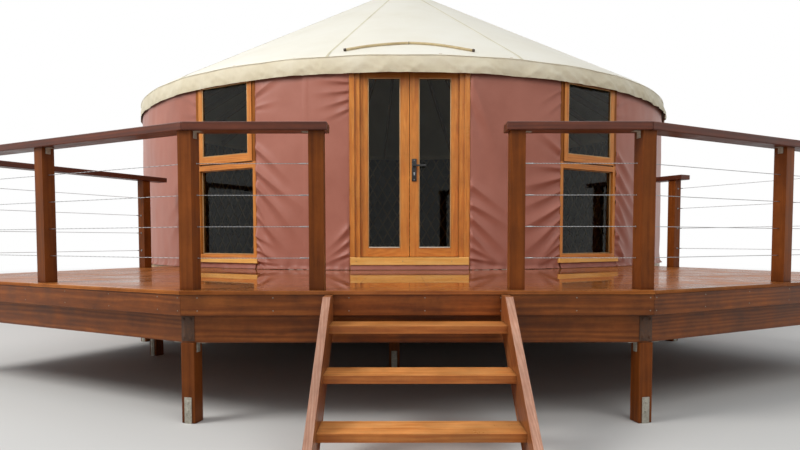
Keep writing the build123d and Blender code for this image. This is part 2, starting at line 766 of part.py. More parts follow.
def door_plates():
    b = -door_front + door_depth
    f = b - leaf_t
    parts = []
    for y0, y1 in ((f - touch - plate_t, f - touch), (b + touch, b + touch + plate_t)):
        p = span(plate_x - plate_w / 2, plate_x + plate_w / 2, y0, y1, deck_top + plate_z,
                 deck_top + plate_z + plate_h)
        p = chamfer(p.edges().filter_by(Axis.Z), plate_t / 3)
        p -= Pos(plate_x, (y0 + y1) / 2, deck_top + lever_z) * Rot(90, 0, 0) * Cylinder(
            spindle_hole_d / 2, plate_t * 2)
        parts.append(p)
    return parts


def door_lever():
    """Lever handles of both faces on one spindle."""
    b = -door_front + door_depth
    f = b - leaf_t
    out, inn = f - plate_t - touch, b + plate_t + touch
    z = deck_top + lever_z
    lever = Pos(plate_x, (f + b) / 2, z) * Rot(90, 0, 0) * Cylinder(spindle_d / 2, inn - out + 80)
    for face, way in ((out, -1), (inn, 1)):
        y = face + way * 40
        lever += Pos(plate_x, face + way * 21, z) * Rot(90, 0, 0) * Cylinder(9, 38)
        arm = span(plate_x - 9, plate_x + lever_len, y - 6, y + 6, z - 9, z + 9)
        lever += chamfer(arm.edges().filter_by(Axis.Y), 4)
    return lever


# Windows
def window_frame():
    f, b = -window_front, -window_front + window_depth
    z0, z1 = deck_top + touch, wall_top
    w = window_half
    frame = span(-w, w, f, b, deck_top + window_sill_z0, z1)
    inner = w - window_jamb
    frame -= span(-inner, inner, f - 1, b + 1, deck_top + window_sill_z1 + low_rail, deck_top + transom_z0)
    frame -= span(-inner, inner, f - 1, b + 1, deck_top + transom_z1, z1 - 40)
    groove = 8.0
    frame -= span(-inner - groove, inner + groove, f + 45 - touch, f + 45 + pane_t + touch,
                  deck_top + window_sill_z1 + low_rail - groove, deck_top + transom_z0 + groove)
    frame += span(-w, w, f + 14, b, z0, deck_top + window_sill_z0)
    sill = span(-w - window_sill_ear, w + window_sill_ear, f - window_sill_out, f,
                deck_top + window_sill_z0, deck_top + window_sill_z1)
    return frame + sill


def sash_bounds():
    inner = window_half - window_jamb
    return (inner - 3.0, deck_top + sash_z0, wall_top - 40 - 3.0, -window_front - sash_proud)


def window_sash():
    half, z0, z1, f = sash_bounds()
    sash = span(-half, half, f, f + sash_t, z0, z1)
    gx = half - sash_stile
    gz0, gz1 = z0 + sash_bottom, z1 - sash_top
    sash -= span(-gx, gx, f - 1, f + sash_t + 1, gz0, gz1)
    mid = f + sash_t / 2
    sash -= span(-gx - 8, gx + 8, mid - pane_t / 2 - touch, mid + pane_t / 2 + touch, gz0 - 8, gz1 + 8)
    # stay that holds the sash to the transom
    return sash + span(-half, half, f + sash_t - 12, f + sash_t, z0 - (sash_z0 - transom_z1) + touch, z0)


def window_panes():
    half, z0, z1, f = sash_bounds()
    rim = 8.0 - touch
    mid = f + sash_t / 2
    gx = half - sash_stile + rim
    upper = span(-gx, gx, mid - pane_t / 2, mid + pane_t / 2, z0 + sash_bottom - rim, z1 - sash_top + rim)
    inner = window_half - window_jamb + rim
    y = -window_front + 45
    lower = span(-inner, inner, y, y + pane_t, deck_top + window_sill_z1 + low_rail - rim,
                 deck_top + transom_z0 + rim)
    return [upper, lower]


def at_windows(solids, azimuths):
    return [Rot(0, 0, az) * s for az in azimuths for s in solids]


def save(name, shapes):
    shapes = shapes if isinstance(shapes, list) else [shapes]
    solids = []
    for s in shapes:
        solids += s.solids()
    shape = solids[0] if len(solids) == 1 else Compound(children=solids)
    export_step(shape, f"parts/{name}.step")


def save_turned(name, shapes):
    """Pieces of the yurt's own wall and door, which look a degree toward +X."""
    shapes = shapes if isinstance(shapes, list) else [shapes]
    save(name, [Rot(0, 0, door_turn) * s for s in shapes])


def main():
    save("yurt_floor", yurt_floor())
    save("floor_joists", floor_joists())
    save("floor_bearers", floor_bearers())
    save("floor_posts", floor_posts())

    save("deck_boards", deck_boards())
    save("deck_joists", deck_joists())
    save("deck_fascia", deck_fascia())
    save("deck_bearers", deck_bearers())
    save("deck_posts", deck_posts())
    save("post_straps", post_straps())
    save("bearer_brackets", bearer_brackets())

    save("railing_posts", railing_posts())
    save("top_rails", top_rails())
    save("railing_cables", railing_cables())
    save("rail_brackets", rail_brackets())

    save("stair_stringers", stair_stringers())
    save("stair_treads", stair_treads())

    spans = wall_spans()
    for name, (a0, a1) in spans.items():
        save_turned("cover_" + name, wall_cover(a0, a1))
    save_turned("lattice_front", [lattice(*spans["front_left"]), lattice(*spans["front_right"])])
    for name in ("left", "right", "back"):
        save_turned("lattice_" + name, lattice(*spans[name]))
    save("wall_cable", wall_cable())

    save("rafters", rafters())
    save("crown_ring", crown_ring())
    save("crown_dome", crown_dome())
    save("roof_cover", roof_cover())
    save_turned("rain_batten", rain_batten())

    save_turned("door_frame", door_frame())
    save_turned("door_leaf_left", door_leaf(-1))
    save_turned("door_leaf_right", door_leaf(1))
    save_turned("door_glass_left", door_glass(-1))
    save_turned("door_glass_right", door_glass(1))
    save_turned("door_hinges", door_hinges())
    save_turned("door_plates", door_plates())
    save_turned("door_lever", door_lever())

    front, back = window_azimuths[:2], window_azimuths[2:]
    save_turned("window_frames_front", at_windows([window_frame()], front))
    save_turned("window_frames_back", at_windows([window_frame()], back))
    save_turned("window_sashes", at_windows([window_sash()], window_azimuths))
    save_turned("window_glass", at_windows(window_panes(), window_azimuths))


main()
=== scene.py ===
# %% [markdown]
# A fabric yurt on a raised hardwood deck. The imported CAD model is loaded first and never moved.
# Timber nodes get a copy with worn arrises and grain that follows each board, and the soft covers are
# replaced by sewn cloth with the folds that the real ones have.

# %% Load the frame
from math import asin, atan2, cos, degrees, hypot, pi, radians, sin, sqrt, tan

import bpy
import numpy as np
from mathutils import Matrix, Vector, noise


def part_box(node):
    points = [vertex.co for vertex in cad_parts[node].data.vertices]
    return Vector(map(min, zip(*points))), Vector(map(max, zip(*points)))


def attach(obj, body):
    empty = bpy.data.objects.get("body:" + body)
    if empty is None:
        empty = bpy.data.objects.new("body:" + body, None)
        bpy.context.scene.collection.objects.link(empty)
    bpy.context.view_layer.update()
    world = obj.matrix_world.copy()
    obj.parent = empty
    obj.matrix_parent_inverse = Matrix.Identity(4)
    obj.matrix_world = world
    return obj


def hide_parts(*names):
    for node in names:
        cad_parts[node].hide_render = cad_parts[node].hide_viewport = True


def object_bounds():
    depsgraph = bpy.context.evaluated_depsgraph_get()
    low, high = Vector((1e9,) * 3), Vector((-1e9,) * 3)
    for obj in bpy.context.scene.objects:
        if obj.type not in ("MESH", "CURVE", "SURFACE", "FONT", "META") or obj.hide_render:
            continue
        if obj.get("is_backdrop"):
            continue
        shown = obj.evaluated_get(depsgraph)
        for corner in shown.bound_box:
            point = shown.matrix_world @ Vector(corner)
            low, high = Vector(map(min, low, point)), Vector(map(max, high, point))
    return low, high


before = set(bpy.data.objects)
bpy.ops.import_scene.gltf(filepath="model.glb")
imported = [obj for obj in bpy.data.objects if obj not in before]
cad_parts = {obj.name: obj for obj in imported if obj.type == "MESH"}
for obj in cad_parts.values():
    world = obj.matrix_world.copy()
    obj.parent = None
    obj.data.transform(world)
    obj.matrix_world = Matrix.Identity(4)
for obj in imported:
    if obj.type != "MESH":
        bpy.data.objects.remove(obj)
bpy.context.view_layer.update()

# %% [markdown]
# The camera stands in front of the stair at chest height and looks a little down. Its lens and place were
# solved from the deck, the rails and the door. The frame is shifted up, because the photo was cropped.

# %% Camera
camera_place = (-0.032, -10.082, 1.105)
camera_turn = (radians(87.21), radians(0.05), 0)
bpy.ops.object.camera_add(location=camera_place, rotation=camera_turn)
camera = bpy.context.object
camera.data.lens = 28.55
camera.data.sensor_width = 36
camera.data.shift_y = 0.058
camera.data.clip_end = 200
bpy.context.scene.camera = camera

# %% [markdown]
# The stage is a plain pale floor under an overcast sky, which is about three times brighter overhead than at
# the horizon, so tops are lighter than sides. A large soft lamp high on the left shows the folds, and a
# weaker one fills from the front. The camera, gloss and glass see a white sky, and the floor fades into it
# far away, so no horizon line shows.

# %% Stage and light
white = (1, 1, 1, 1)
sky_low, sky_high = 0.52, 1.65
fade_near, fade_far = 6, 22
scene = bpy.context.scene
scene.view_settings.view_transform = "Standard"


def colour(code):
    """An sRGB hex colour as linear RGBA."""
    parts = [int(code[i:i + 2], 16) / 255 for i in (1, 3, 5)]
    linear = [c / 12.92 if c <= 0.04045 else ((c + 0.055) / 1.055) ** 2.4 for c in parts]
    return (*linear, 1)


def feed(made, inputs):
    """Sets a node's inputs by name or number; one given as a socket is linked."""
    for name, value in inputs.items():
        if isinstance(value, bpy.types.NodeSocket):
            made.id_data.links.new(value, made.inputs[name])
        else:
            made.inputs[name].default_value = value


def node(tree, kind, inputs=None, stops=(), **settings):
    """Adds a node with its settings and inputs; stops fill a colour ramp."""
    made = tree.nodes.new("ShaderNode" + kind)
    for name, value in settings.items():
        setattr(made, name, value)
    while stops and len(made.color_ramp.elements) < len(stops):
        made.color_ramp.elements.new(0.5)
    for k, (position, code) in enumerate(stops):
        made.color_ramp.elements[k].position = position
        made.color_ramp.elements[k].color = colour(code)
    feed(made, inputs or {})
    return made


def seen_by(tree, *kinds):
    """1 where a ray of one of these kinds looks, and otherwise 0."""
    rays = node(tree, "LightPath").outputs
    seen = rays[kinds[0]]
    for kind in kinds[1:]:
        seen = node(tree, "Math", {0: seen, 1: rays[kind]}, operation="MAXIMUM").outputs[0]
    return seen


world = bpy.data.worlds.new("overcast sky")
world.use_nodes = True
tree = world.node_tree
tree.nodes.clear()
seen = seen_by(tree, "Is Camera Ray", "Is Glossy Ray", "Is Transmission Ray")
up = node(tree, "SeparateXYZ", {"Vector": node(tree, "TexCoord").outputs["Generated"]}).outputs["Z"]
power = node(tree, "MapRange", {"Value": up, "From Min": 0, "From Max": 1, "To Min": sky_low,
                                "To Max": sky_high})
lit = node(tree, "Background", {"Color": colour("#A9ADB2"), "Strength": power.outputs[0]})
bright = node(tree, "Background", {"Color": white, "Strength": 1})
sky = node(tree, "MixShader", {0: seen, 1: lit.outputs[0], 2: bright.outputs[0]})
node(tree, "OutputWorld", {"Surface": sky.outputs[0]})
scene.world = world

bpy.ops.mesh.primitive_plane_add(size=120, location=(0, 0, 0))
floor = bpy.context.object
floor.name = "stage_floor"
floor_finish = bpy.data.materials.new("pale stage floor")
floor_finish.use_nodes = True
tree = floor_finish.node_tree
floor_shader = tree.nodes["Principled BSDF"]
feed(floor_shader, {"Base Color": colour("#D6D4CF"), "Roughness": 0.9, "Specular IOR Level": 0.1})
far = node(tree, "VectorMath", {0: node(tree, "TexCoord").outputs["Object"]}, operation="LENGTH")
fade = node(tree, "MapRange", {"Value": far.outputs["Value"], "From Min": fade_near, "From Max": fade_far,
                               "To Min": 0, "To Max": 1}, interpolation_type="SMOOTHSTEP")
bright = node(tree, "Background", {"Color": white, "Strength": 1})
mixed = node(tree, "MixShader", {0: fade.outputs[0], 1: floor_shader.outputs[0], 2: bright.outputs[0]})
seen = seen_by(tree, "Is Camera Ray", "Is Glossy Ray")
shown = node(tree, "MixShader", {0: seen, 1: floor_shader.outputs[0], 2: mixed.outputs[0]})
feed(tree.nodes["Material Output"], {"Surface": shown.outputs[0]})
floor.data.materials.append(floor_finish)
floor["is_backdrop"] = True

for place, power, size in (((-9, -9, 9), 900, 5), ((4, -12, 8), 260, 6)):
    bpy.ops.object.light_add(type="AREA", location=place)
    lamp = bpy.context.object
    lamp.data.energy = power
    lamp.data.size = size
    lamp.rotation_euler = (Vector((0, -2, 1.5)) - Vector(place)).to_track_quat("-Z", "Y").to_euler()

# %% [markdown]
# Helpers that stand for a few clicks each: pick one object, apply a modifier, and hand a finished piece to
# its body with its finish. Everything is deselected first, because an operator acts on all that is selected.

# %% Helpers for pieces
def pick(*objects):
    """Selects these objects alone; the last is active."""
    bpy.ops.object.select_all(action="DESELECT")
    for o in objects:
        o.select_set(True)
    bpy.context.view_layer.objects.active = objects[-1]


def edit_mesh(piece, *steps):
    """Runs edit-mode operators, each given with its settings, on the whole mesh."""
    pick(piece)
    bpy.ops.object.mode_set(mode="EDIT")
    for operator, settings in steps:
        bpy.ops.mesh.select_all(action="SELECT")
        operator(**settings)
    bpy.ops.object.mode_set(mode="OBJECT")


# Operators that several pieces share; the last one comes with its setting.
merge, bisect = bpy.ops.mesh.remove_doubles, bpy.ops.mesh.bisect
turn_outward = (bpy.ops.mesh.normals_make_consistent, {"inside": False})


def primitive(operator, **settings):
    """Adds a primitive with nothing else selected."""
    bpy.ops.object.select_all(action="DESELECT")
    operator(**settings)
    return bpy.context.object


def linked(name, data):
    """A new object over its data, in the scene."""
    piece = bpy.data.objects.new(name, data)
    scene.collection.objects.link(piece)
    return piece


def drawn(name, corners, lines=(), faces=()):
    """A new object from corners, lines and faces."""
    mesh = bpy.data.meshes.new(name)
    mesh.from_pydata(corners, lines, faces)
    return linked(name, mesh)


def modify(piece, kind, **settings):
    """Adds a modifier with its settings and applies it."""
    pick(piece)
    made = piece.modifiers.new(kind, kind)
    for name, value in settings.items():
        setattr(made, name, value)
    bpy.ops.object.modifier_apply(modifier=made.name)


def set_place(piece):
    """Moves the object's place and turn into its mesh."""
    pick(piece)
    bpy.ops.object.transform_apply(location=True, rotation=True, scale=True)


def box_piece(x0, x1, y0, y1, z0, z1):
    """Box between two corners."""
    piece = primitive(bpy.ops.mesh.primitive_cube_add, size=1)
    piece.dimensions = (x1 - x0, y1 - y0, z1 - z0)
    piece.location = ((x0 + x1) / 2, (y0 + y1) / 2, (z0 + z1) / 2)
    set_place(piece)
    return piece


def copy_at(piece, matrix):
    """Copy with its own mesh, moved in the mesh."""
    twin = piece.copy()
    twin.data = piece.data.copy()
    twin.data.transform(matrix)
    scene.collection.objects.link(twin)
    return twin


def joined(parts, name):
    """The parts joined into the last one of them."""
    pick(*parts)
    if len(parts) > 1:
        bpy.ops.object.join()
    piece = bpy.context.object
    piece.name = name
    piece.data.name = name
    return piece


def drop(*objects):
    """Deletes objects that have done their work."""
    for o in objects:
        bpy.data.objects.remove(o)


def hand_over(piece, name, body, finish, replaces=(), smooth=35):
    """Names a finished piece, gives it its finish and lets it ride on its body."""
    piece.name = name
    piece.data.name = name
    piece.data.materials.clear()
    piece.data.materials.append(finish)
    pick(piece)
    if smooth:
        bpy.ops.object.shade_smooth_by_angle(angle=radians(smooth))
    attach(piece, body)
    if replaces:
        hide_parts(*replaces)
    return piece


def polar(r, azimuth):
    """Plan point at a radius; azimuth 0 is the front, in degrees."""
    return Vector((r * sin(radians(azimuth)), -r * cos(radians(azimuth)), 0))


def second_finish(piece, finish, test):
    """Gives a second finish to the faces whose centre and normal pass a test."""
    piece.data.materials.append(finish)
    for face in piece.data.polygons:
        if test(face.center, face.normal):
            face.material_index = len(piece.data.materials) - 1


# %% [markdown]
# Timber gets its look from grain that runs along each board. Every board of a merged copy is a loose island,
# so its longest direction is found from its corners and kept as an attribute in metres, with an offset that
# differs from board to board. Frames are joined members, so there each face picks upright or level grain.

# %% Grain that follows the boards
def islands(mesh):
    """Loose pieces of a mesh, as a label for each vertex."""
    label = np.arange(len(mesh.vertices))
    edges = np.empty(len(mesh.edges) * 2, dtype=np.int64)
    mesh.edges.foreach_get("vertices", edges)
    a, b = edges[0::2], edges[1::2]
    while True:
        low = np.minimum(label[a], label[b])
        before = label.copy()
        np.minimum.at(label, a, low)
        np.minimum.at(label, b, low)
        label = label[label]
        if (label == before).all():
            return label


def vertex_places(mesh):
    """The corners of a mesh as an array, one row each."""
    places = np.empty(len(mesh.vertices) * 3)
    mesh.vertices.foreach_get("co", places)
    return places.reshape(-1, 3)


def loose_parts(mesh):
    """The corners of each loose part, one array a part."""
    places, label = vertex_places(mesh), islands(mesh)
    return [places[label == name] for name in np.unique(label)]


def main_axes(places):
    """Axes of a cloud of corners round their middle, shortest first, as columns."""
    away = places - places.mean(axis=0)
    return np.linalg.eigh(away.T @ away)[1]


def board_grain(piece):
    """Writes two attributes: metres along, across and from the heart of the log, and a tone a board."""
    mesh = piece.data
    places, label = vertex_places(mesh), islands(mesh)
    grain, tone = np.zeros_like(places), np.zeros(len(places))
    for k, name in enumerate(np.unique(label)):
        own = label == name
        axes = main_axes(places[own])[:, ::-1]
        axes *= np.where(np.abs(axes).max(axis=0) == axes.max(axis=0), 1, -1)
        shift = [k * 3.7, (k * 0.618 % 1 - 0.5) * 0.16, 0.05 + k * 0.414 % 1 * 0.08]
        grain[own] = (places[own] - places[own].mean(axis=0)) @ axes + np.array(shift)
        tone[own] = k * 0.754 % 1 * 2 - 1
    made = mesh.attributes.new("grain", "FLOAT_VECTOR", "POINT")
    made.data.foreach_set("vector", grain.ravel())
    mesh.attributes.new("tone", "FLOAT", "POINT").data.foreach_set("value", tone)


def frame_grain(piece):
    """The same attribute for joinery: each face takes upright or level grain from its own shape."""
    mesh = piece.data
    places, label = vertex_places(mesh), islands(mesh)
    made = mesh.attributes.new("grain", "FLOAT_VECTOR", "CORNER")
    ways = {}
    for k, name in enumerate(np.unique(label)):
        out = places[label == name].mean(axis=0) * (1, 1, 0)
        out /= np.linalg.norm(out)
        ways[name] = (np.array([-out[1], out[0], 0]), out, k * 2.3)
    for face in mesh.polygons:
        corners = places[list(face.vertices)]
        level, out, shift = ways[label[face.vertices[0]]]
        side, up, deep = corners @ level, corners[:, 2], corners @ out
        values = (side + 5 + shift, up, deep) if np.ptp(side) > np.ptp(up) else (up + shift, side, deep)
        for loop, value in zip(face.loop_indices, np.stack(values, axis=1)):
            made.data[loop].vector = value


def merged_copy(name, whole_faces=True):
    """Copy of a CAD node with its corners merged and, if asked, its flat faces whole again."""
    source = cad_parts[name]
    source.hide_viewport = False
    pick(source)
    bpy.ops.object.duplicate()
    piece = bpy.context.object
    piece.parent = None
    piece.matrix_world = Matrix.Identity(4)
    steps = [(merge, {"threshold": 0.00005})]
    if whole_faces:
        steps.append((bpy.ops.mesh.dissolve_limited, {"angle_limit": radians(0.6)}))
    edit_mesh(piece, *steps)
    return piece


def cut(piece, point, normal):
    """Cuts all faces along a plane and keeps both sides."""
    edit_mesh(piece, (bisect, {"plane_co": point, "plane_no": normal}))


def edged(piece, width, segments=2):
    """The piece with its sharp edges rounded."""
    modify(piece, "BEVEL", width=width, segments=segments, limit_method="ANGLE", angle_limit=radians(35))
    return piece


def timber(name, finish, arris=0.004, cuts=(), body="yurt", joinery=False, whole_faces=True):
    """A CAD node's copy with rounded arrises and its own grain, in place of the node."""
    piece = merged_copy(name, whole_faces)
    for point, normal in cuts:
        cut(piece, point, normal)
    edged(piece, arris)
    (frame_grain if joinery else board_grain)(piece)
    return hand_over(piece, name + "_worn", body, finish, (name,), smooth=15)


# %% [markdown]
# The deck is oiled hardwood, red-brown with darker figure, wet from rain. Broad streaks give the figure. A
# wave in rings round the heart of each log gives the long arches of a sawn face, and fine noise gives the
# fibres, which are about 1 mm wide and are drawn 4 mm wide so that they show. The tones of one board lie
# close together, and neighbours differ more than that. Painted shade darkens corners within 25 mm of each
# other. A clear coat stands for the oil and the rain on it.

# %% Timber finishes
multiply = {"data_type": "RGBA", "blend_type": "MULTIPLY"}


def painted_eave_shadow(tree, tone):
    """Darkens the last few centimetres under the valance with the valance's painted shadow."""
    height = node(tree, "SeparateXYZ", {"Vector": node(tree, "TexCoord").outputs["Object"]}).outputs["Z"]
    share = node(tree, "MapRange", {"Value": height, "From Min": 2.69, "From Max": 2.76, "To Min": 1,
                                    "To Max": 0.42}).outputs[0]
    return node(tree, "Mix", {0: 1, 6: tone, 7: share}, **multiply).outputs[2]


def new_finish(name):
    """An empty material with its shader and output."""
    material = bpy.data.materials.new(name)
    material.use_nodes = True
    tree = material.node_tree
    tree.nodes.clear()
    shader = node(tree, "BsdfPrincipled")
    node(tree, "OutputMaterial", {"Surface": shader.outputs[0]})
    return material, tree, shader


def wood(name, dark, mid, light, gloss=0.42, coat=0.1, figure_mm=26, ring=0.2, knots=0.0, weather=0.25,
         shine=0.3, across=0.1, apart=0.08, crevice_shade=0.45, eave=False):
    """Planed wood with figure, growth rings, fibres and a few knots along the grain attribute."""
    material, tree, shader = new_finish(name)
    grain = node(tree, "Attribute", attribute_name="grain").outputs["Vector"]
    wide = 1000 / figure_mm / 3
    broad = node(tree, "Mapping", {"Vector": grain, "Scale": (wide / 10, wide, wide)}).outputs[0]
    figure = node(tree, "TexNoise", {"Vector": broad, "Scale": 1.5, "Detail": 6, "Roughness": 0.6,
                                     "Distortion": 0.7}).outputs["Fac"]
    log = node(tree, "Mapping", {"Vector": grain, "Rotation": (0, 0.012, 0.02),
                                 "Scale": (0.09, 1, 1)}).outputs[0]
    rings = node(tree, "TexWave", {"Vector": log, "Scale": 314 / figure_mm, "Distortion": 6, "Detail": 4,
                                   "Detail Scale": 0.9, "Detail Roughness": 0.55},
                 wave_type="RINGS", rings_direction="X").outputs["Fac"]
    mixed = node(tree, "Mix", {0: ring, 2: figure, 3: rings}).outputs[0]
    tone = node(tree, "ValToRGB", {"Fac": mixed}, [(0.25, dark), (0.5, mid), (0.75, light)]).outputs["Color"]
    fine = node(tree, "Mapping", {"Vector": grain, "Scale": (5, 230, 230)}).outputs[0]
    fibre = node(tree, "TexNoise", {"Vector": fine, "Scale": 1, "Detail": 3, "Roughness": 0.7}).outputs["Fac"]
    streak = node(tree, "MapRange", {"Value": fibre, "From Min": 0.3, "From Max": 0.7, "To Min": 1 - across,
                                     "To Max": 1 + across}).outputs[0]
    place = node(tree, "TexCoord").outputs["Object"]
    blotch = node(tree, "TexNoise", {"Vector": place, "Scale": 3.4, "Detail": 7,
                                     "Roughness": 0.68}).outputs["Fac"]
    worn = node(tree, "MapRange", {"Value": blotch, "From Min": 0.35, "From Max": 0.68,
                                   "To Min": 1 - weather, "To Max": 1 + weather * 0.4}).outputs[0]
    own = node(tree, "MapRange", {"Value": node(tree, "Attribute", attribute_name="tone").outputs["Fac"],
                                  "From Min": -1, "From Max": 1, "To Min": 1 - apart, "To Max": 1 + apart})
    # Painted shade: ambient occlusion darkens corners and gaps within 25 mm.
    near = node(tree, "AmbientOcclusion", {"Distance": 0.025}, samples=3).outputs["AO"]
    corner_shade = node(tree, "MapRange", {"Value": near, "From Min": 0.35, "From Max": 0.8, "To Min": 1 - crevice_shade,
                                   "To Max": 1}).outputs[0]
    shade = node(tree, "Math", {0: own.outputs[0], 1: corner_shade}, operation="MULTIPLY").outputs[0]
    for share in (streak, worn, shade):
        tone = node(tree, "Mix", {0: 1, 6: tone, 7: share}, **multiply).outputs[2]
    if knots:
        spots = node(tree, "Mapping", {"Vector": grain, "Scale": (2.4, 9, 9)}).outputs[0]
        cell = node(tree, "TexVoronoi", {"Vector": spots, "Scale": 1, "Randomness": 1}).outputs["Distance"]
        knot = node(tree, "MapRange", {"Value": cell, "From Min": 0.03, "From Max": 0.12, "To Min": knots,
                                       "To Max": 0}).outputs[0]
        tone = node(tree, "Mix", {0: knot, 6: tone, 7: colour(dark)}, data_type="RGBA").outputs[2]
    rough = node(tree, "MapRange", {"Value": blotch, "From Min": 0.3, "From Max": 0.7, "To Min": gloss - 0.12,
                                    "To Max": gloss + 0.12}).outputs[0]
    bump = node(tree, "Bump", {"Height": fibre, "Strength": 0.25, "Distance": 0.0012}).outputs[0]
    feed(shader, {"Base Color": painted_eave_shadow(tree, tone) if eave else tone, "Roughness": rough, "Normal": bump,
                  "Specular IOR Level": shine, "Coat Weight": coat, "Coat Roughness": 0.12, "Coat IOR": 1.33})
    return material


rail_wood = wood("oiled merbau handrails", "#4C2415", "#5F2D1A", "#733922", knots=0.3, weather=0.3)
post_wood = wood("oiled hardwood posts", "#62300F", "#7C4015", "#8A4A1B", knots=0.5, shine=0.12, coat=0.05,
                 apart=0.12, ring=0.12, figure_mm=34)
stringer_wood = wood("oiled hardwood stringers", "#7A421F", "#96572C", "#AB6D3E", knots=0.3)
edge_wood = wood("rain-bleached stringer edges", "#A9735A", "#BD8A70", "#CC9F87", gloss=0.5, figure_mm=9)
fascia_wood = wood("oiled hardwood fascia and bearers", "#693612", "#7E4218", "#8F5020", figure_mm=22,
                   knots=0.8, weather=0.42, ring=0.35, apart=0.1, shine=0.2)
tread_wood = wood("planed hardwood treads", "#D2803E", "#E69751", "#F2AB66", gloss=0.38, coat=0.15,
                  figure_mm=14, shine=0.3, ring=0.4)
# Painted shade: the tread fronts are a darker copy of the tread wood, as the light falls from above.
shaded_tread_front_wood = wood("tread fronts with painted shade", "#A35A25", "#B66C2F", "#C57F40", gloss=0.42, figure_mm=14)
board_wood = wood("wet hardwood decking", "#84451F", "#A5602D", "#C17B42", gloss=0.3, coat=0.1,
                  weather=0.3, shine=0.05, apart=0.16, crevice_shade=0.6)
door_wood = wood("varnished cedar joinery", "#BF6C2B", "#D68436", "#E49848", gloss=0.36, coat=0.2,
                 figure_mm=12, weather=0.14, across=0.08, crevice_shade=0.62, eave=True)
# Painted shade: a darker copy of the cedar for the shadowed strips beside the sashes.
shaded_casing_wood = wood("cedar casings with painted shade", "#7E4319", "#96561F", "#A9692C", gloss=0.42, figure_mm=12,
                   weather=0.14, crevice_shade=0.7, eave=True, shine=0.1, coat=0.05)
pale_wood = wood("planed pine laths and rafters", "#A58257", "#BF9C6C", "#D2B48A", gloss=0.55, coat=0)
# Rain lies as a film on the boards before the door, so that part mirrors the sill; the sides are drier.
puddle, wet_reach, dry_reach = (0, -4.4, 0.81), 1.6, 2.4
tree = board_wood.node_tree
place = node(tree, "TexCoord").outputs["Object"]
spot = node(tree, "VectorMath", {0: place, 1: puddle}, operation="DISTANCE")
film = node(tree, "MapRange", {"Value": spot.outputs["Value"], "From Min": wet_reach, "From Max": dry_reach,
                               "To Min": 0.95, "To Max": 0.02}).outputs[0]
shader = next(n for n in tree.nodes if n.type == "BSDF_PRINCIPLED")
feed(shader, {"Coat Weight": film, "Coat Roughness": 0.02})
floor_wood = wood("planed pale floor boards", "#9A7448", "#B08A5A", "#C29C6B", gloss=0.45, coat=0.1,
                  figure_mm=20, knots=0.3)
rough_wood = wood("sawn framing timber", "#33200F", "#4D311C", "#644427", gloss=0.7, coat=0, knots=0.6)
print("timber finishes", [m.name for m in bpy.data.materials])

# %% [markdown]
# The posts, rails, bearers, stringers and treads are the CAD nodes with their arrises worn round, which
# catches a thin line of light on every edge. A post has 4 mm arrises, and a handrail 6 mm ones.

# %% Structural timber
for name, finish, arris in (("railing_posts", post_wood, 0.004), ("top_rails", rail_wood, 0.006),
                            ("deck_posts", post_wood, 0.004), ("deck_fascia", fascia_wood, 0.003),
                            ("deck_bearers", fascia_wood, 0.003)):
    timber(name, finish, arris)
stringers = timber("stair_stringers", stringer_wood, arris=0.0025, whole_faces=False)
treads = timber("stair_treads", tread_wood, arris=0.0022, whole_faces=False)
second_finish(stringers, edge_wood, lambda c, n: n.y < -0.3 and n.z > 0.3)
# The fronts of the treads take the darker copy, which is painted shade.
second_finish(treads, shaded_tread_front_wood, lambda c, n: n.y < -0.8)
for hidden in ("deck_joists", "floor_joists", "floor_bearers", "floor_posts"):
    timber(hidden, rough_wood, arris=0.002)
timber("rafters", pale_wood, arris=0.004)
timber("crown_ring", pale_wood, arris=0.006)

# %% [markdown]
# The wall stands on a lattice of bent laths, which shows faintly through the glass. One lath is a bar that is
# divided along its length, leaned over and wrapped round the wall. Its copies are turned a step at a time and
# cut upright beside each frame. The CAD keeps every second lath of each layer.

# %% Lattice
def keep_between(piece, first, last, *more):
    """Cuts along two planes, each a point and a normal, and keeps and closes what lies between."""
    sides = ((first, "clear_inner"), (last, "clear_outer"))
    cuts = [(bisect, {"plane_co": point, "plane_no": normal, "use_fill": True, side: True})
            for (point, normal), side in sides]
    edit_mesh(piece, *cuts, *more)


lath_t, lath_w, lath_r = 0.010, 0.030, 3.7695
lath_rise, lath_step = 1.73, 360 / 112


def bent_lath(r, lean, z0, z1):
    """One lath on a cylinder of radius r, leaning to one side, cut level at its ends."""
    length = (z1 - z0) / lath_rise * sqrt(1 + lath_rise ** 2) + 2 * lath_w
    bar_t = lath_t - 0.0004
    piece = box_piece(-lath_w / 2, lath_w / 2, -bar_t / 2, bar_t / 2, -length / 2, length / 2)
    for k in range(1, 8):
        cut(piece, (0, 0, length * (k / 8 - 0.5)), (0, 0, 1))
    places = vertex_places(piece.data)
    lean_by = lean * atan2(1, lath_rise)
    x = places[:, 0] * cos(lean_by) + places[:, 2] * sin(lean_by)
    z = places[:, 2] * cos(lean_by) - places[:, 0] * sin(lean_by) + (z0 + z1) / 2
    away = r + places[:, 1]
    places = np.stack([away * np.sin(x / r), -away * np.cos(x / r), z], axis=1)
    piece.data.vertices.foreach_set("co", places.ravel())
    keep_between(piece, ((0, 0, z0), (0, 0, 1)), ((0, 0, z1), (0, 0, 1)), turn_outward)
    return piece


def azimuths_of(name, middle):
    """Azimuths of a CAD node's corners, near a middle azimuth."""
    return np.array([middle + (degrees(atan2(v.co.x, -v.co.y)) - middle + 180) % 360 - 180
                     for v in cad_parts[name].data.vertices])


def lattice_panel(az0, az1, laths, reach):
    """Both layers of laths between two azimuths."""
    parts = []
    for k in range(int((az1 - az0 + 2 * reach) / lath_step) + 1):
        spin = Matrix.Rotation(radians(az0 - reach + k * lath_step), 4, "Z")
        parts += [copy_at(lath, spin) for lath in laths]
    panel = joined(parts, "panel")
    keep_between(panel, ((0, 0, 1), polar(1, az0 + 90)), ((0, 0, 1), polar(1, az1 + 90)))
    return panel


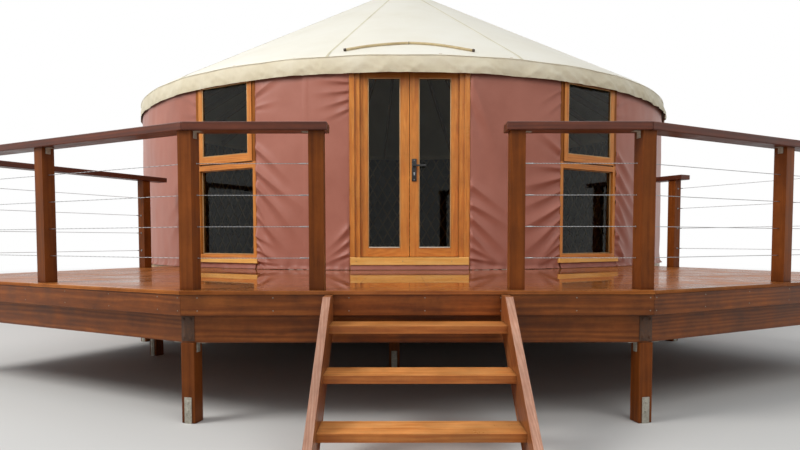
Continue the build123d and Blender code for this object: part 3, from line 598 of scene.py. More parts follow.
low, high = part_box("lattice_left")
laths = [bent_lath(lath_r - lath_t * (1.5 if lean > 0 else 0.5), lean, low.z, high.z) for lean in (1, -1)]
reach = degrees((high.z - low.z) / lath_rise / lath_r) / 2
for side, middle in (("front", 1), ("left", -89), ("right", 91), ("back", 181)):
    name = "lattice_" + side
    found = azimuths_of(name, middle)
    halves = (found[found < middle], found[found > middle]) if side == "front" else (found,)
    panel = joined([lattice_panel(a.min(), a.max(), laths, reach) for a in halves], name + "_laths")
    board_grain(panel)
    hand_over(panel, name + "_laths", "yurt", pale_wood, (name,), smooth=0)
    print(name, [round(float(v), 1) for v in (found.min(), found.max())], len(panel.data.polygons), "faces")
drop(*laths)

# %% [markdown]
# The door and windows are joined from stiles and rails. The copy is cut along each stile first, so that the
# level grain of a rail stops where the upright grain of the stile begins, as in real joinery.

# %% Joinery
door_turn = radians(1)
window_turns = [radians(a + 1) for a in (-31.4, 31.4, 180 - 31.4, 180 + 31.4)]


def stile_cuts(turn, offsets):
    """Upright planes across a flat frame that faces a direction."""
    t = Vector((cos(turn), sin(turn), 0))
    return [(t * x, t) for x in offsets]


window_stile, sash_stile, sash_foot = 0.392, 0.332, 1.93
jamb_line, leaf_stiles = 0.5095, (0.0905, 0.4165)
timber("door_frame", door_wood, 0.003, stile_cuts(door_turn, (-jamb_line, jamb_line)),
       joinery=True)
for side, sign in (("left", -1), ("right", 1)):
    lines = stile_cuts(door_turn, [sign * x for x in leaf_stiles])
    timber("door_leaf_" + side, door_wood, 0.003, lines, body="leaf_" + side, joinery=True)
for side, turns in (("front", window_turns[:2]), ("back", window_turns[2:])):
    lines = [c for turn in turns for c in stile_cuts(turn, (-window_stile, window_stile))]
    lines.append(((0, 0, sash_foot), (0, 0, 1)))
    timber("window_frames_" + side, door_wood, 0.003, lines, joinery=True)
lines = [c for turn in window_turns[:2] for c in stile_cuts(turn, (-sash_stile, sash_stile))]
timber("window_sashes", door_wood, 0.003, lines, joinery=True)

# %% [markdown]
# The deck in the CAD is one plate. Here it becomes boards 90 mm wide with 4 mm gaps that run across, inside
# a mitred border board along each outer edge. The boards start as one box, copied, and a boolean with the
# merged CAD plate cuts their ends to the plan and round the yurt.

# %% Deck boards
board_pitch, board_gap, border_w = 0.094, 0.004, 0.092
deck_low, deck_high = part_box("deck_boards")
board_t = deck_high.z - deck_low.z
plate = merged_copy("deck_boards")
rim = sorted({(round(v.co.x, 4), round(v.co.y, 4)) for v in plate.data.vertices
              if hypot(v.co.x, v.co.y) > 4.4}, key=lambda p: p[0])
edge = [Vector((x, y, 0)) for x, y in rim]
print("outer corners of the deck", rim)


def prism_from(points, z0, z1, name):
    """Upright prism over plan points, counted against the clock."""
    n = len(points)
    verts = [(p.x, p.y, z0) for p in points] + [(p.x, p.y, z1) for p in points]
    faces = [tuple(range(n))[::-1], tuple(range(n, 2 * n))]
    faces += [(k, (k + 1) % n, n + (k + 1) % n, n + k) for k in range(n)]
    return drawn(name, verts, faces=faces)


def inset_chain(points, inward):
    """Chain of plan points moved to the left, mitred."""
    out = []
    for i, p in enumerate(points):
        ways = [(points[j + 1] - points[j]).normalized() for j in (i - 1, i) if 0 <= j < len(points) - 1]
        n = sum((Vector((-w.y, w.x, 0)) for w in ways), Vector()) / len(ways)
        out.append(p + n * inward / n.length_squared)
    return out


def border_prisms(inward, margin, grow, name):
    """One mitred prism along each outer side of the deck."""
    inner = inset_chain(edge, inward)
    outer = inset_chain(edge, -grow)
    made = []
    for i in range(len(edge) - 1):
        way = (edge[i + 1] - edge[i]).normalized()
        a, b = (way * margin if i else Vector()), (way * margin if i < len(edge) - 2 else Vector())
        ring = [outer[i] + a, outer[i + 1] - b, inner[i + 1] - b, inner[i] + a]
        made.append(prism_from(ring, deck_low.z - grow, deck_high.z + grow, name))
    return made


def boolean(piece, other, operation):
    """Cuts a piece with another one, or keeps what both share."""
    modify(piece, "BOOLEAN", object=other, operation=operation, solver="EXACT")


half_w, skin = (board_pitch - board_gap) / 2, board_t * 0.01
board = box_piece(-4.6, 4.6, -half_w, half_w, deck_low.z + skin, deck_high.z - skin)
count = int((deck_high.y - deck_low.y) / board_pitch) + 1
rows = [copy_at(board, Matrix.Translation((0, edge[1].y + border_w + board_pitch * (k + 0.5), 0)))
        for k in range(count)]
drop(board)
planks = joined(rows, "planks")
boolean(planks, plate, "INTERSECT")
keep_out = joined(border_prisms(border_w, -0.002, 0.01, "keep_out"), "keep_out")
boolean(planks, keep_out, "DIFFERENCE")
borders = joined(border_prisms(border_w - board_gap, 0.0008, 0, "border"), "borders")
planks = joined([planks, borders], "deck_planks")
edged(planks, 0.0012)
board_grain(planks)
hand_over(planks, "deck_planks", "yurt", board_wood, ("deck_boards",), smooth=15)
drop(plate, keep_out)
print("deck boards", count, "faces", len(planks.data.polygons))

# %% [markdown]
# The wall cover is coated polyester, terracotta brown with a satin face. It hangs from the wire rope and is
# pulled round the frames, so tension folds fan down and away from each window and the hem puckers where it
# lies on the deck. The roof is cream canvas with a dry finish. The valance is darker with dirt, most of all
# low down, and with painted shade. The threads are 1 mm apart and are drawn 7 mm apart so that the weave
# shows.

# %% Cloth finishes
wave_bands = 3.3  # bands in a metre of a wave texture at scale 1, roughly


def cloth(name, dark, mid, light, rough, thread=0.007, blotch_scale=1.4, grime=None, eave=False, more=None):
    """Woven cloth with mottled colour; grime is (z low, z high, hex colour) of a dirty band."""
    material, tree, shader = new_finish(name)
    own = node(tree, "UVMap", uv_map="UVMap").outputs[0]
    place = node(tree, "TexCoord").outputs["Object"]
    blotch = node(tree, "TexNoise", {"Vector": place, "Scale": blotch_scale, "Detail": 7,
                                     "Roughness": 0.6}).outputs["Fac"]
    tone = node(tree, "ValToRGB", {"Fac": blotch}, [(0.3, dark), (0.5, mid), (0.7, light)]).outputs["Color"]
    if grime:
        height = node(tree, "SeparateXYZ", {"Vector": place}).outputs["Z"]
        speck = node(tree, "TexNoise", {"Vector": place, "Scale": 9, "Detail": 6,
                                        "Roughness": 0.7}).outputs["Fac"]
        level = node(tree, "MapRange", {"Value": height, "From Min": grime[0], "From Max": grime[1],
                                        "To Min": 1, "To Max": 0}).outputs[0]
        share = node(tree, "Math", {0: level, 1: speck}, operation="MULTIPLY").outputs[0]
        tone = node(tree, "Mix", {0: share, 6: tone, 7: colour(grime[2])}, data_type="RGBA").outputs[2]
    gloss = node(tree, "MapRange", {"Value": blotch, "From Min": 0.3, "From Max": 0.7, "To Min": rough - 0.06,
                                    "To Max": rough + 0.06}).outputs[0]
    waves = [node(tree, "TexWave", {"Vector": own, "Scale": 1 / thread / wave_bands}, bands_direction=way)
             for way in "XY"]
    threads = node(tree, "Math", {k: wave.outputs["Fac"] for k, wave in enumerate(waves)},
                   operation="MULTIPLY").outputs[0]
    bump = node(tree, "Bump", {"Height": threads, "Strength": 0.12, "Distance": 0.0006}).outputs[0]
    feed(shader, {"Base Color": painted_eave_shadow(tree, tone) if eave else tone, "Roughness": gloss, "Normal": bump,
                  **(more or {})})
    return material


wall_cloth = cloth("coated polyester wall cover", "#A46756", "#AE705F", "#B57766", 0.40, eave=True,
                   grime=(0.75, 0.95, "#7E4636"),
                   more={"Specular IOR Level": 0.2, "Coat Weight": 0.02, "Coat Roughness": 0.25})
back_cloth = cloth("dark backing of the wall cover", "#33261F", "#41322A", "#4C3B31", 0.8, eave=True)
roof_cloth = cloth("proofed cream roof canvas", "#EEE7D4", "#F2ECDB", "#F5F0E1", 0.85,
                   more={"Sheen Weight": 0.15})
# The valance's tones are darker than the roof's, for dirt and as painted shade.
hem_cloth = cloth("canvas valance with dirt and painted shade", "#DCCFB0", "#E7DCC0", "#EFE6CE", 0.85, blotch_scale=3,
                  grime=(2.76, 2.9, "#BFB190"), more={"Sheen Weight": 0.15})
seam_cloth = cloth("doubled canvas seams", "#CFC5A6", "#DDD4B8", "#E6DEC6", 0.85)
print("cloth finishes", wall_cloth.name, roof_cloth.name, hem_cloth.name)

# %% [markdown]
# One grid serves for each cloth. It is added flat in metres, so its UV map can hold the cloth's own metres
# for the weave, and its corners are then moved to the wall by a formula: azimuth from the width, height
# from the length, and the radius from the folds. A Solidify modifier gives it its thickness.

# %% Cloth grids
def cloth_grid(width, length, cell):
    """Flat grid of a cloth with its UV map in metres; returns it with its places."""
    columns, lines = max(int(width / cell), 2), max(int(length / cell), 2)
    piece = primitive(bpy.ops.mesh.primitive_grid_add, x_subdivisions=columns, y_subdivisions=lines, size=1,
                      calc_uvs=True)
    places = vertex_places(piece.data)
    u, v = (places[:, 0] + 0.5) * width, (places[:, 1] + 0.5) * length
    layer = piece.data.uv_layers[0]
    layer.name = "UVMap"
    values = np.empty(len(layer.data) * 2)
    layer.data.foreach_get("uv", values)
    values[0::2] *= width
    values[1::2] *= length
    layer.data.foreach_set("uv", values)
    return piece, u, v


def put(piece, x, y, z):
    """Moves the corners to these places."""
    piece.data.vertices.foreach_set("co", np.stack([x, y, z], axis=1).ravel())
    piece.data.update()


def put_round(piece, r, az, z):
    """Moves the corners to a radius, an azimuth in degrees and a height."""
    put(piece, r * np.sin(np.radians(az)), -r * np.cos(np.radians(az)), z)


def soft_noise(x, y, size, seed):
    """Smooth noise over a surface, about -1 to 1, with features of a size in metres."""
    return np.array([noise.noise(Vector((a / size, b / size, seed))) for a, b in zip(x, y)]) * 1.6


def fold(u, v, start, angle, length, width, height, bend=0.0):
    """A soft ridge from a point of the cloth; it widens and fades along its way."""
    du, dv = u - start[0], v - start[1]
    along = du * cos(angle) + dv * sin(angle)
    across = -du * sin(angle) + dv * cos(angle) + bend * along ** 2
    spread = width * (1 + 1.6 * np.clip(along, 0, None) / length)
    reach = np.clip(along / length, 0, 1)
    fade = np.clip(along / 0.03 + 0.6, 0, 1) * (1 - reach) ** 1.4 * (along > -0.03)
    ridge = np.exp(-np.abs(across / spread) ** 1.35) - 0.5 * np.exp(-((across + 1.4 * spread) / spread) ** 2)
    return 1.75 * height * fade * ridge


# %% [markdown]
# A window edge sends a fan of long folds down and away from it, steeper toward the hem, and on the right
# panel the first ones rise. A door edge has short puckers at its top and a few folds below. Each fold is
# given by its height on the edge, its angle in degrees, its length, width and depth.

# %% Wall covers
rng = np.random.default_rng(7)
deck_z = deck_high.z
wall_face = 3.7765
window_folds = [(1.27, -38, 0.62, 0.030, 0.022), (1.05, -42, 0.75, 0.034, 0.026),
                (0.88, -40, 0.80, 0.036, 0.024), (0.74, -54, 0.60, 0.030, 0.026),
                (0.58, -47, 0.55, 0.026, 0.018), (0.42, -60, 0.42, 0.024, 0.022),
                (0.36, -28, 0.26, 0.015, 0.022), (0.30, -44, 0.34, 0.018, 0.022),
                (0.20, -22, 0.30, 0.015, 0.020), (0.13, -34, 0.26, 0.012, 0.017),
                (0.09, -8, 0.34, 0.012, 0.014), (1.78, 28, 0.40, 0.022, 0.010),
                (1.66, 12, 0.30, 0.018, 0.007)]
window_folds_right = [(1.20, 34, 0.50, 0.030, 0.018), (1.04, 3, 0.42, 0.024, 0.015),
                      (0.95, -17, 0.55, 0.028, 0.022), (0.82, -24, 0.60, 0.026, 0.016),
                      (0.68, -32, 0.66, 0.030, 0.026), (0.55, -46, 0.60, 0.028, 0.022),
                      (0.40, -50, 0.45, 0.026, 0.020), (0.28, -38, 0.36, 0.020, 0.018),
                      (0.16, -18, 0.34, 0.016, 0.016), (1.86, -30, 0.34, 0.018, 0.009),
                      (1.74, -38, 0.30, 0.018, 0.007)]
door_folds = [(1.93, 16, 0.30, 0.016, 0.012), (1.85, 6, 0.34, 0.017, 0.015),
              (1.77, -4, 0.36, 0.016, 0.013), (1.69, -12, 0.34, 0.016, 0.012),
              (1.60, -22, 0.32, 0.016, 0.009), (0.44, -46, 0.40, 0.026, 0.017),
              (0.30, -40, 0.36, 0.020, 0.015), (0.17, -18, 0.34, 0.016, 0.015)]
door_folds_right = [(1.90, -62, 0.90, 0.046, 0.016), (1.74, -58, 0.60, 0.030, 0.008),
                    (0.86, -32, 0.60, 0.032, 0.018), (0.66, -24, 0.55, 0.028, 0.018),
                    (0.54, -40, 0.60, 0.028, 0.024), (0.38, -44, 0.46, 0.024, 0.022),
                    (0.24, -28, 0.40, 0.020, 0.016), (0.12, -12, 0.34, 0.014, 0.014)]


def folds(u, v, rows):
    """Sum of a list of folds that start on the edge u = 0."""
    h = np.zeros_like(u)
    for z, angle, length, width, height in rows:
        angle = radians(angle + rng.uniform(-3, 3))
        h += fold(u, v, (-0.02, z), angle, 1.2 * length, width, height, rng.uniform(-0.18, 0.18))
    return h


def hem(u, v):
    """Puckers over the lowest 160 mm, which flare out where the cloth meets the deck."""
    low = np.clip(1 - v / 0.16, 0, 1)
    ripple = soft_noise(u, v * 0.25, 0.085, 3.0)
    return 0.012 * low ** 1.5 * (ripple + 0.6) + 0.02 * np.clip(1 - v / 0.045, 0, 1) ** 2 * (1 + 0.6 * ripple)


def wall_panel(name, middle, start_folds, end_folds, cell, seams_at=()):
    """One length of the wall cover with the folds of its two edges and its welded seams."""
    found = azimuths_of(name, middle)
    az0, az1 = found.min(), found.max()
    width, height = radians(az1 - az0) * wall_face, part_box(name)[1].z - deck_z - 0.004
    piece, u, v = cloth_grid(width, height, cell)
    h = 0.006 + 0.006 * soft_noise(u, v * 0.7, 0.42, middle)
    h += 0.002 * soft_noise(u, v * 0.5, 0.12, middle + 5)
    h += folds(u, v, start_folds) + folds(width - u, v, end_folds) + hem(u, v)
    for az in seams_at:
        h += 0.0022 * (np.abs(u - radians(az - az0) * wall_face) < 0.02)
    edge = np.clip(np.minimum(u, width - u) / 0.02, 0, 1)
    h = np.where(h < 0, 0.003 * np.tanh(h / 0.003), h) * (0.35 + 0.65 * edge)
    h = np.minimum(h, np.interp(v, [1.85, 1.95], [0.1, 0.012]))
    lift = 0.0016 + 0.002 * np.clip(1 - v / 0.03, 0, 1) * (1 + soft_noise(u, v, 0.09, 8.0))
    put_round(piece, wall_face + h, az0 + (az1 - az0) * u / width, deck_z + v + lift)
    modify(piece, "SOLIDIFY", thickness=0.0022, offset=0)
    hand_over(piece, name + "_cloth", "yurt", wall_cloth, (name,), smooth=80)
    second_finish(piece, back_cloth, lambda c, n: c.x * n.x + c.y * n.y < -1)
    return width, height, len(piece.data.polygons)


for name, middle, first, last, cell, seams_at in (
        ("cover_front_left", -20, window_folds, door_folds, 0.009, (-15,)),
        ("cover_front_right", 20, door_folds_right, window_folds_right, 0.009, ()),
        ("cover_left", -89, window_folds_right, window_folds, 0.021, (-115, -80)),
        ("cover_right", 91, window_folds, window_folds_right, 0.021, (80, 115)),
        ("cover_back", 181, window_folds, window_folds_right, 0.021, (165, 195))):
    print(name, [round(x, 3) for x in wall_panel(name, middle, first, last, cell, seams_at)])

# %% [markdown]
# Under each sill a strip of the same cloth hides the foot of the frame. It is gathered a little, like the
# hem beside it.

# %% Aprons under the sills
def apron(name, half, front, turn, height):
    """A strip of cloth under a flat frame that faces a direction."""
    piece, u, v = cloth_grid(2 * half, height, 0.008)
    x, out = u - half, front + 0.004 + 0.004 * (1 + soft_noise(u, v, 0.07, degrees(turn)))
    out += 0.018 * np.clip(1 - v / height, 0, 1) ** 2
    c, s = cos(turn), sin(turn)
    put(piece, x * c + out * s, x * s - out * c, deck_z + 0.003 + v)
    modify(piece, "SOLIDIFY", thickness=0.0022, offset=0)
    hand_over(piece, name, "yurt", wall_cloth, smooth=80)


door_face, window_face = 3.736, 3.758
apron("door_apron", 0.592, door_face + 0.001, door_turn, 0.044)
for k, turn in enumerate(window_turns):
    apron(f"window_apron_{k}", 0.432, window_face, turn, 0.054)

# %% [markdown]
# The roof cover is a cone of canvas drawn tight over 32 rafters. Between two rafters it sinks a few
# millimetres, most of all near the eave. Twelve lapped seams run from the crown to the eave, and a valance
# hangs from the crease, where it is sewn on over a thin piped edge.

# %% Roof cover
crown_r, eave_r = 0.4515, 3.801
roof_pitch = radians(28.8)
crease_z = deck_z + 2.122
rafter_pitch = 360 / 32


def roof_height(r):
    """The cone, which rounds over by 14 mm along its last 60 mm."""
    soft = np.clip((r - (eave_r - 0.06)) / 0.06, 0, 1)
    return crease_z + (eave_r - r) * tan(roof_pitch) - 0.014 * soft ** 2


def roof_sink(r, az):
    """How far the canvas sinks between rafters."""
    return 0.0055 * (r / eave_r) ** 2 * (0.5 + 0.5 * np.cos(np.radians(az) * 360 / rafter_pitch))


def lay_round(piece, r, az, z, thickness):
    """Lays a cloth all round, joins its two ends, smooths it and gives it its thickness."""
    put_round(piece, r, az, z)
    edit_mesh(piece, (merge, {"threshold": 0.0002}))
    modify(piece, "SUBSURF", levels=1, render_levels=1)
    modify(piece, "SOLIDIFY", thickness=thickness, offset=-1)


eave_length = 2 * pi * eave_r
slant = (eave_r - crown_r) / cos(roof_pitch)
piece, u, v = cloth_grid(eave_length, slant, 0.1)
az = 180 + 360 * u / eave_length
r = eave_r - 0.002 - (eave_r - 0.002 - crown_r) * v / slant
ripple = 0.0016 * soft_noise(u * r / eave_r, v * 0.5, 0.4, 2.0)
z = roof_height(r) - roof_sink(r, az) + ripple - 0.006 * np.clip(1 - v / 0.02, 0, 1)
lay_round(piece, r, az, z, 0.002)
roof = hand_over(piece, "roof_canvas", "yurt", roof_cloth, ("roof_cover",), smooth=60)

# %% [markdown]
# The valance is a strip of canvas, sewn on at the crease and free at its lower edge. Its rumples are
# ridges of noise that lean to both sides, and they grow from the stitching down.

# %% Valance
valance_h = 0.175
piece, u, v = cloth_grid(eave_length, valance_h, 0.02)
drop_share = 1 - v / valance_h
az = 180 + 360 * u / eave_length
hang = np.clip(drop_share * 1.6, 0, 1)
wave = soft_noise(u, v * 0.4, 0.5, 4.0) + 0.5 * soft_noise(u + v, v * 0.5, 0.11, 9.0)
crease = 1 - np.abs(soft_noise(u + v * 1.3, v * 0.6, 0.19, 6.0)) ** 0.6
crease += 0.8 * (1 - np.abs(soft_noise(u - v * 1.2, v * 0.6, 0.30, 16.0)) ** 0.6)
crease *= 0.75 + 0.45 * np.sin(np.radians(az))
r = eave_r - 0.006 + (0.007 * wave + 0.026 * crease) * hang + 0.0015 * (v < 0.026)
z = crease_z - 0.012 - valance_h + v * (valance_h - 0.002) / valance_h
z += 0.005 * soft_noise(u, v * 0, 0.8, 5.0) * drop_share
lay_round(piece, r, az, z, 0.0025)
valance = hand_over(piece, "valance", "yurt", hem_cloth, smooth=80)
print("valance faces", len(valance.data.polygons))

# %% [markdown]
# A lapped seam is a narrow strip that lies on the canvas from the crown to the eave. The piped edge is a thin
# round bar along the crease.

# %% Seams and piped edge
def tube(points, radius, name, sides=6, closed=False):
    """Round bar along a line of points, as a mesh."""
    data = bpy.data.curves.new(name, "CURVE")
    data.dimensions = "3D"
    data.bevel_depth = radius
    data.bevel_resolution = max(sides // 4, 0)
    data.use_fill_caps = not closed
    spline = data.splines.new("POLY")
    spline.points.add(len(points) - 1)
    for at, p in zip(spline.points, points):
        at.co = (*p, 1)
    spline.use_cyclic_u = closed
    pick(linked(name, data))
    bpy.ops.object.convert(target="MESH")
    bpy.context.object.data.uv_layers.new(name="UVMap")
    return bpy.context.object


def on_roof(r, az, lift=0.0):
    """Point on the outside of the canvas."""
    height = roof_height(r) - roof_sink(r, az) + lift * cos(roof_pitch)
    return polar(r + lift * sin(roof_pitch), az) + Vector((0, 0, height))


seam_first, seam_count, seam_lines = -11.5, 12, 36
seam_half, seam_lift = 0.011, 0.0012


def seam(az):
    """A narrow strip down the canvas at an azimuth."""
    corners = []
    for i in range(seam_lines + 1):
        r = crown_r + 0.004 + (eave_r - crown_r - 0.01) * i / seam_lines
        half = degrees(seam_half / r)
        corners += [on_roof(r, az - half, seam_lift), on_roof(r, az + half, seam_lift)]
    faces = [(2 * i, 2 * i + 1, 2 * i + 3, 2 * i + 2) for i in range(seam_lines)]
    strip = drawn("seam", corners, faces=faces)
    strip.data.uv_layers.new(name="UVMap")
    return strip


seams = joined([seam(seam_first + 360 * k / seam_count) for k in range(seam_count)], "roof_seams")
edit_mesh(seams, turn_outward)
modify(seams, "SOLIDIFY", thickness=0.0016, offset=0)
hand_over(seams, "roof_seams", "yurt", seam_cloth, smooth=60)
ring = [on_roof(eave_r - 0.001, a) + Vector((0, 0, 0.001)) for a in np.arange(0, 360, 1.5)]
piping = tube(ring, 0.0026, "eave_piping", closed=True)
hand_over(piping, "eave_piping", "yurt", seam_cloth, smooth=60)
print("seams", seam_count, "piping faces", len(piping.data.polygons))

# %% [markdown]
# Trims, beads and hardware are small square-edged pieces. Each starts as a box or a bar at its size, gets a
# fine bevel, and is laid out for a frame that faces the front before it is turned to the azimuth it faces.

# %% Trim helpers
def turned_to(pieces, turns, name):
    """The pieces copied to each azimuth and joined."""
    made = [copy_at(p, Matrix.Rotation(turn, 4, "Z")) for turn in turns for p in pieces]
    drop(*pieces)
    return joined(made, name)


def round_bar(radius, length, sides=16, edge=0.0, z0=0.0, tip=None):
    """Bar along +Z from z0; a tip radius tapers it."""
    if tip is None:
        piece = primitive(bpy.ops.mesh.primitive_cylinder_add, vertices=sides, radius=radius, depth=length)
    else:
        piece = primitive(bpy.ops.mesh.primitive_cone_add, vertices=sides, radius1=radius, radius2=tip,
                          depth=length)
    piece.location = (0, 0, z0 + length / 2)
    set_place(piece)
    return edged(piece, edge, 1) if edge else piece


def aimed(place, way):
    """Matrix that carries +Z to a direction at a place."""
    return Matrix.Translation(place) @ Vector(way).to_track_quat("Z", "Y").to_matrix().to_4x4()


def moved(piece, matrix):
    """The piece itself, moved in its mesh."""
    piece.data.transform(matrix)
    return piece


def repaint(name, finish):
    """Finish for a CAD node whose shape is right."""
    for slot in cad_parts[name].material_slots:
        slot.material = finish


# %% [markdown]
# Metals here are galvanised steel on the straps and angles, stainless wire rope on the rails, and satin black
# steel on the door. Zinc weathers to a mottled grey with dull spangles some 12 mm wide. Weathered zinc is
# half metallic with a high roughness. The black finish is paint, so it isn't metallic.

# %% Metal, glass and acrylic finishes
def metal(name, dark, light, rough, metallic=1.0, mottle_mm=12, spread=0.15):
    """Metal or painted metal with mottled tone and roughness."""
    material, tree, shader = new_finish(name)
    place = node(tree, "TexCoord").outputs["Object"]
    cell = node(tree, "TexVoronoi", {"Vector": place, "Scale": 1000 / mottle_mm}).outputs["Distance"]
    cloud = node(tree, "TexNoise", {"Vector": place, "Scale": 22, "Detail": 6,
                                    "Roughness": 0.7}).outputs["Fac"]
    mixed = node(tree, "Mix", {0: 0.7, 2: cell, 3: cloud}).outputs[0]
    tone = node(tree, "ValToRGB", {"Fac": mixed}, [(0.3, dark), (0.65, light)]).outputs["Color"]
    gloss = node(tree, "MapRange", {"Value": mixed, "From Min": 0.25, "From Max": 0.7,
                                    "To Min": rough - spread, "To Max": rough + spread}).outputs[0]
    bump = node(tree, "Bump", {"Height": cloud, "Strength": 0.15, "Distance": 0.0006}).outputs[0]
    feed(shader, {"Base Color": tone, "Roughness": gloss, "Normal": bump, "Metallic": metallic})
    return material


zinc = metal("weathered galvanised steel", "#8C877B", "#B9B4A6", 0.6, metallic=0.55)
dark_plate = metal("dull brown corner plates", "#3E2A1E", "#5A3B26", 0.6, metallic=0.3)
stainless = metal("stainless steel fittings", "#828486", "#B6B8B9", 0.38, mottle_mm=4, spread=0.08)
black_steel = metal("satin black painted steel", "#101112", "#1E1F20", 0.38, metallic=0, mottle_mm=5,
                    spread=0.08)
dull_screws = metal("bronzed deck screws", "#4A3220", "#6B4B33", 0.6, metallic=0.4, mottle_mm=3)
nail_metal = metal("dull nail heads", "#6D675C", "#A79F90", 0.5, metallic=0.7, mottle_mm=3)


def wire_rope(name, lay_mm):
    """Stainless rope; slanting bands stand for its strands, drawn coarse enough to show."""
    material, tree, shader = new_finish(name)
    place = node(tree, "TexCoord").outputs["Object"]
    lay = node(tree, "TexWave", {"Vector": place, "Scale": 1000 / lay_mm / wave_bands},
               bands_direction="DIAGONAL").outputs["Fac"]
    tone = node(tree, "ValToRGB", {"Fac": lay}, [(0.1, "#858788"), (0.6, "#B2B4B5")]).outputs["Color"]
    bump = node(tree, "Bump", {"Height": lay, "Strength": 0.25, "Distance": 0.0006}).outputs[0]
    feed(shader, {"Base Color": tone, "Roughness": 0.45, "Normal": bump, "Metallic": 0.8})
    return material


rope_metal = wire_rope("stainless wire rope", 9)


def glass_like(name, tint, rough, smear, ior, shine):
    """Clear sheet with a tint through its depth and faint smears on its face."""
    material, tree, shader = new_finish(name)
    place = node(tree, "TexCoord").outputs["Object"]
    film = node(tree, "TexNoise", {"Vector": place, "Scale": 5, "Detail": 5,
                                   "Roughness": 0.65}).outputs["Fac"]
    gloss = node(tree, "MapRange", {"Value": film, "From Min": 0.4, "From Max": 0.7, "To Min": rough,
                                    "To Max": rough + smear}).outputs[0]
    tone = node(tree, "ValToRGB", {"Fac": film}, [(0.35, tint[0]), (0.7, tint[1])]).outputs["Color"]
    feed(shader, {"Base Color": tone, "Roughness": gloss, "Transmission Weight": 1, "IOR": ior,
                  "Specular IOR Level": shine})
    return material


# The panes are tinted, and a low IOR keeps their mirror image of the stage weak.
dark_glass = glass_like("tinted window glass", ("#ABAEA1", "#B7BAAD"), 0.01, 0.03, 1.24, 0.3)
acrylic = glass_like("clear acrylic dome", ("#F3F2EC", "#F8F7F3"), 0.02, 0.06, 1.49, 0.5)
for name in ("door_glass_left", "door_glass_right", "window_glass"):
    repaint(name, dark_glass)
repaint("door_hinges", zinc)
print("finishes", len(bpy.data.materials))

# %% [markdown]
# Thin square beads hold the panes, a shade lighter than the frame: on both sides of a door pane, and outside
# a window pane. A pale weather bar lies along the foot of each door pane. The sills get a finish of their
# own, because the rain has bleached them. The casings round the sashes get a darker cedar as painted shade.

# %% Glazing beads and sills
bead_wood = wood("light cedar beads", "#C99458", "#DCAE74", "#E8C08A", gloss=0.4, weather=0.1)
sill_wood = wood("rain-bleached cedar sills", "#F3AF58", "#FCBE66", "#FFCC7E", gloss=0.4, figure_mm=16,
                 weather=0.1)
bar_paint = metal("pale weather bar", "#CFC6B4", "#E6DECD", 0.5, metallic=0, mottle_mm=8)
pane_low, pane_top = 1.030, 2.720
leaf_front = -3.692
low_pane, low_bead = (0.958, 1.866), (-3.727, -3.7134)
sash_pane, sash_bead = (2.013, 2.751), (-3.7645, -3.7524)


def bead_boxes(x0, x1, z0, z1, y0, y1, w, foot=True):
    """Four square beads round a pane."""
    rows = [(x0, x0 + w, y0, y1, z0, z1), (x1 - w, x1, y0, y1, z0, z1), (x0 + w, x1 - w, y0, y1, z1 - w, z1)]
    if foot:
        rows.append((x0 + w, x1 - w, y0, y1, z0, z0 + w))
    return rows


def trim_set(boxes, turns, name, finish, body="yurt"):
    """Square trims at each azimuth, as one piece."""
    piece = edged(turned_to([box_piece(*b) for b in boxes], turns, name), 0.0015)
    board_grain(piece)
    return hand_over(piece, name, body, finish, smooth=50)


for side, sign in (("left", -1), ("right", 1)):
    x0, x1 = sorted(sign * x for x in leaf_stiles)
    rows = bead_boxes(x0, x1, pane_low, pane_top, leaf_front + 0.003, leaf_front + 0.0155, 0.009, foot=False)
    rows += bead_boxes(x0, x1, pane_low, pane_top, leaf_front + 0.0265, leaf_front + 0.039, 0.009)
    trim_set(rows, [door_turn], "leaf_beads_" + side, bead_wood, "leaf_" + side)
    foot = [(x0 + 0.009, x1 - 0.009, leaf_front - 0.004, leaf_front + 0.0155, pane_low, pane_low + 0.011)]
    trim_set(foot, [door_turn], "weather_bar_" + side, bar_paint, "leaf_" + side)
rows = bead_boxes(-window_stile, window_stile, *low_pane, *low_bead, 0.010)
rows += bead_boxes(-sash_stile, sash_stile, *sash_pane, *sash_bead, 0.008)
trim_set(rows, window_turns, "window_beads", bead_wood)
second_finish(bpy.data.objects["door_frame_worn"], sill_wood,
              lambda c, n: c.z < deck_z + 0.13 and (n.y < -0.5 or n.z > 0.5) and c.y < -3.7)


def aside(c, turns):
    """How far a point lies to the side of the nearest of some frames."""
    return min(abs(c.x * cos(turn) + c.y * sin(turn)) for turn in turns)


for side, turns in (("front", window_turns[:2]), ("back", window_turns[2:])):
    frames = bpy.data.objects["window_frames_" + side + "_worn"]
    second_finish(frames, sill_wood,
                  lambda c, n: deck_z + 0.055 < c.z < deck_z + 0.113 and hypot(c.x, c.y) > 3.752)
    # The outer strips beside the upper sashes take the darker cedar, which is painted shade.
    second_finish(frames, shaded_casing_wood, lambda c, n: c.z > sash_foot and aside(c, turns) > 0.385)

# %% [markdown]
# The black door plates get two screws each and a key hole of the usual shape under the lever. The lever
# itself is the CAD one with its edges rounded.

# %% Door furniture
plate_x, plate_low, plate_top = 0.0465, 1.697, 1.919
plate_front, plate_back, key_z = leaf_front - 0.0103, leaf_front + 0.0523, 1.778


def refined(name, finish, body, arris, segments=2, smooth=40):
    """A CAD node's copy with finer edges, in place of the node."""
    piece = edged(merged_copy(name), arris, segments)
    return hand_over(piece, name + "_fine", body, finish, (name,), smooth=smooth)


